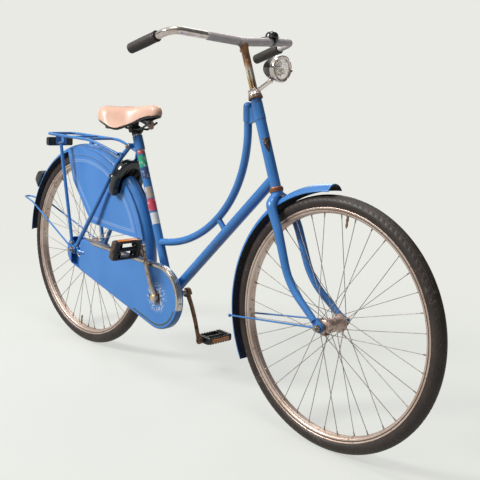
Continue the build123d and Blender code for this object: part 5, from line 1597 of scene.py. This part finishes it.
patches = [("red", 476, 497, -30, 95), ("green", 432, 471, -24, 100), ("navy", 390, 430, -34, 92),
           ("tan", 326, 364, -10, 98), ("crimson", 282, 323, -30, 104), ("white", 237, 276, -26, 96)]
for colour, start, stop, low_turn, high_turn in patches:
    skin = [patch(start, stop, low_turn, high_turn)]
    add_piece("patch_" + colour, skin, "patch " + colour, "frame", angle=60)
print("patches", len(patches))

# %% [markdown]
# Where a lug ends on a tube, water has left a thin line of rust. Each line is a fine wire bent
# round the tube, and where the lug is cut at a slant the wire leans with it.

# %% Lug seams


def seam_ring(spot, axis, radius, lean=0.0):
    """A line of rust round a tube where a lug ends: spot + radius times (cos t, sin t) across the
    tube + lean cos t along it, which gives the lug's slanted end."""
    axis = unit(axis)
    side = unit(np.cross(leftward, axis))
    t = full_turn(64)[:, None]
    around = np.cos(t) * side + np.sin(t) * leftward
    path = spot + around * radius * MM + axis * (lean * np.cos(t)) * MM
    return carried(path, circle(0.42 * MM, 6), up=axis, closed=True)


head_radius = 15.6
swan_lug = steer_place(248.9, -35.7)
swan_way = unit(steer_place(38.0, -106.2) - swan_lug)
down_way = unit(steer_place(25.0) - crank_middle)
seams = [seam_ring(steer_place(246.0), steer_up, head_radius + 0.9, 4.0),
         seam_ring(steer_place(198.0), steer_up, head_radius + 0.9, 3.0),
         seam_ring(steer_place(9.0), steer_up, head_radius, 2.0),
         seam_ring(swan_lug + swan_way * 42 * MM, swan_way, 12.0),
         seam_ring(crank_middle + down_way * 45 * MM, down_way, 16.0)]
add_piece("lug_seams", seams, "rust", "frame", angle=60)
print("seams", len(seams))

# %% [markdown]
# The paint is gone from a shield-shaped place on the front of the head tube, and brown metal
# shows. It is a skin like the patches, but narrower towards its foot.

# %% Bare place on the head tube


def bare_patch():
    """A shield-shaped skin on the head tube, 34 degrees to the right of its front: its half-width
    of 40 degrees narrows with depth h by (1 - 0.8 h^2), from 142 mm up to 41 mm lower."""
    h = np.linspace(0, 1, 16)[:, None]
    t = np.linspace(-1, 1, 18)[None]
    turn = np.radians(-34 + 40 * t * (1 - 0.8 * h**2))[..., None]
    ring = np.cos(turn) * steer_forward + np.sin(turn) * leftward
    middle = steer_place(0) + ((142 - 41 * h) * MM)[..., None] * steer_up
    outer = middle + ring * (head_radius + 0.2) * MM
    inner = middle + ring * (head_radius - 0.1) * MM
    return over(np.concatenate([outer, inner[:, ::-1]], 1), wrap_columns=True, caps=True)


add_piece("bare_patch", [bare_patch()], "bare metal", "frame", angle=60)
print("bare place done")

# %% [markdown]
# Nuts hold the top of the seat stays, the rack's stays, the fender's stays and the fork crown.
# All are the same six-sided profile with a rounded stud end and a washer, in different sizes, so
# one function makes them. Those on the fender's stays are painted over.

# %% Nuts and bolts


def nut(spot, axis, across, height, washer):
    """A six-sided nut with a rounded stud end and a washer under it, all sizes in millimetres."""
    r = across / 2 / math.cos(math.pi / 6)
    stud = [(0, height * 0.9), (across * 0.27, height * 0.9), (across * 0.27, height + 1.6),
            (across * 0.16, height + 2.4), (0, height + 2.6)]
    return [lathe([(0, 0), (r, 0), (r, height * 0.8), (r * 0.88, height), (0, height)], spot, axis, 6),
            lathe(stud, spot, axis, 14),
            lathe([(0, -0.2), (washer, -0.2), (washer, 0.9), (0, 0.9)], spot, axis, 24)]


seat_clamp = crank_middle + (seat_up * 514 - seat_front * 26.3) * MM
stay_end = front_axle + 364 * MM * wheel_way(189)
frame_nuts, stay_nuts = [], []
for s in (-1, 1):
    outwards = leftward * s
    frame_nuts += nut(seat_clamp + outwards * 29.2 * MM, outwards, 12, 6, 8.5)
    frame_nuts += nut(place(-12, s * 69.2, 374), outwards, 9, 4.5, 6.5)
    frame_nuts += nut(place(-94, s * 70.9, 723), outwards, 8, 4, 5.5)
    stay_nuts += nut(stay_end + outwards * 33.6 * MM, outwards, 8, 3.5, 5.5)
fork_nuts = nut(head_foot + (steer_forward * 17.4 - steer_up * 30) * MM, steer_forward, 10, 5, 7)
add_piece("stay_nuts", stay_nuts, "paint", "fork", angle=35)
add_piece("frame_nuts", frame_nuts, "steel", "frame", angle=35)
add_piece("fork_nuts", fork_nuts, "steel", "fork", angle=35)
print("nuts", (len(frame_nuts) + len(stay_nuts) + len(fork_nuts)) // 3)

# %% [markdown]
# ## Floor, light and camera
# The bicycle stands on a pale floor that goes over into a pale surround without an edge. A white
# sheet under strong light could do that, but then the light would wash out the paint. Light Path
# tells the rays apart instead: the eye sees the pale colour as it is, and the light that falls on
# the bicycle is set by itself.

# %% Helpers for the surround
pale = (0.815, 0.823, 0.775)
view_right = (0.6953, 0.7164, 0.0569)


def glow(tree, kind, colour, strength=1.0):
    """A shader of a kind that only shines, in one colour and strength."""
    node = tree.nodes.new(kind)
    link(tree, colour, node.inputs["Color"])
    node.inputs["Strength"].default_value = strength
    return node.outputs[0]


def either(tree, amount, first, second):
    """The first shader where amount is 0, the second where it is 1."""
    node = tree.nodes.new("ShaderNodeMixShader")
    tree.links.new(amount, node.inputs[0])
    tree.links.new(first, node.inputs[1])
    tree.links.new(second, node.inputs[2])
    return node.outputs[0]


def seen_rays(tree):
    """The rays' outputs, and 1 for rays that the eye sees, straight or through clear plastic."""
    rays = tree.nodes.new("ShaderNodeLightPath").outputs
    return rays, maths(tree, "MAXIMUM", rays["Is Camera Ray"], rays["Is Transmission Ray"])


print("made the helpers for the surround")

# %% [markdown]
# The surround is seen as one pale colour. All other light from it comes from the left of the
# camera and fades to a dim right. Gloss also meets a dim band above the horizon, because bright
# metal only looks like metal when it has something dark to reflect.

# %% Surround


def make_world():
    """A world whose soft light and whose reflected colour are separate, each fading from left to
    right by a smooth step of the direction's share along the camera's right."""
    world = bpy.data.worlds.new("pale_surround")
    bpy.context.scene.world = world
    world.use_nodes = True
    tree = world.node_tree
    tree.nodes.clear()
    direction = tree.nodes.new("ShaderNodeTexCoord").outputs["Generated"]
    split = tree.nodes.new("ShaderNodeSeparateXYZ")
    tree.links.new(direction, split.inputs[0])
    rightwards = maths(tree, "ADD", maths(tree, "MULTIPLY", split.outputs["X"], view_right[0]),
                       maths(tree, "MULTIPLY", split.outputs["Y"], view_right[1]))
    dark_side = step(tree, rightwards, -0.35, 0.75)
    height = split.outputs["Z"]
    band = maths(tree, "SUBTRACT", step(tree, height, 0.02, 0.10), step(tree, height, 0.34, 0.5))
    dim = maths(tree, "MULTIPLY", maths(tree, "MAXIMUM", dark_side, band), 0.9)
    gloss_colour = mix(tree, dim, pale, (0.05, 0.055, 0.065))
    soft_colour = mix(tree, dark_side, (0.42, 0.44, 0.47), (0.10, 0.11, 0.13))
    soft, gloss, seen = (glow(tree, "ShaderNodeBackground", c) for c in (soft_colour, gloss_colour, pale))
    rays, eye = seen_rays(tree)
    light = either(tree, rays["Is Glossy Ray"], soft, gloss)
    out = tree.nodes.new("ShaderNodeOutputWorld")
    tree.links.new(either(tree, eye, light, seen), out.inputs["Surface"])


make_world()
print("made", bpy.context.scene.world.name)

# %% [markdown]
# The floor has to take the bicycle's shadow and yet match the surround. Near the bicycle it is
# partly matt, so that the shadow shows, and from half a metre outwards it goes over to glowing in
# the surround's colour. Gloss sees it a shade darker than the eye does, and it throws only a
# little light back up at the paint.

# %% Floor
floor_half = 30.0
near_glow = 0.66
wheels_middle = (rear_axle + front_axle) / 2


def make_floor():
    """A square under the wheels. The share of its glow rises by a smooth step of the distance
    from the point between the wheels."""
    corners = [(-1, -1), (1, -1), (1, 1), (-1, 1)]
    mesh = bpy.data.meshes.new("floor")
    mesh.from_pydata([(x * floor_half, y * floor_half, road) for x, y in corners], [], [(0, 1, 2, 3)])
    floor = put("floor", mesh)
    material, tree, shader, spot = new_material("pale_floor")
    shader.inputs["Base Color"].default_value = (*pale, 1.0)
    shader.inputs["Roughness"].default_value = 0.9
    away = distance(tree, spot, (wheels_middle[0], wheels_middle[1], road))
    share = step(tree, away, 0.5, 2.2, near_glow, 1.0)
    in_full = glow(tree, "ShaderNodeEmission", pale)
    in_gloss = glow(tree, "ShaderNodeEmission", pale, 0.85)
    thrown_up = glow(tree, "ShaderNodeEmission", (0.10, 0.11, 0.12))
    rays, eye = seen_rays(tree)
    seen = either(tree, share, shader.outputs[0], in_full)
    unseen = either(tree, rays["Is Glossy Ray"], thrown_up, in_gloss)
    tree.links.new(either(tree, eye, unseen, seen), tree.nodes["Material Output"].inputs["Surface"])
    mesh.materials.append(material)
    return floor


floor = make_floor()
print("floor at", round(float(road), 3), "m")

# %% [markdown]
# Three square lamps light the bicycle: a key from the camera's left, a weak one from above and a
# weaker one from the far side, which draws the edges of the tubes. Large lamps give soft shadows.
# Each is turned so that it faces a point between the wheels.

# %% Lights


def soft_light(name, spot, target, size, power):
    """A square lamp that faces a target, with its size in metres and its power in watts."""
    data = bpy.data.lights.new(name, "AREA")
    data.shape = "SQUARE"
    data.size = size
    data.energy = power
    lamp = put(name, data)
    lamp.location = spot
    lamp.rotation_euler = (Vector(target) - Vector(spot)).to_track_quat("-Z", "Y").to_euler()


aim = (float(wheels_middle[0]), 0.0, road + 0.55)
soft_light("key_light", (-1.9, -3.6, 2.4), aim, 1.1, 210)
soft_light("top_light", (0.3, -0.6, 3.4), aim, 1.4, 45)
soft_light("far_light", (-1.8, 2.6, 1.6), aim, 1.4, 22)
print("lamps", len(bpy.data.lights))

# %% [markdown]
# The camera stands ahead of the front wheel and to its right, a little below the bar, and leans
# slightly. Two directions fix how it is turned, its right and its up. The second is made square
# to the first, and the third follows from both.

# %% Camera
camera_data = bpy.data.cameras.new("camera")
camera_data.lens = 61.35
camera_data.sensor_width = 36.0
camera = put("camera", camera_data)
camera_place = (2.2501, -1.6729, 0.0967)
camera_right = Vector(view_right).normalized()
camera_up = Vector((-0.1739, 0.0909, 0.9805))
camera_up = (camera_up - camera_right * camera_up.dot(camera_right)).normalized()
camera_back = camera_right.cross(camera_up)
camera_turn = Matrix((camera_right, camera_up, camera_back)).transposed().to_4x4()
camera.matrix_world = Matrix.Translation(camera_place) @ camera_turn
bpy.context.scene.camera = camera
bpy.context.scene.view_settings.view_transform = "Standard"
print("camera at", camera_place)
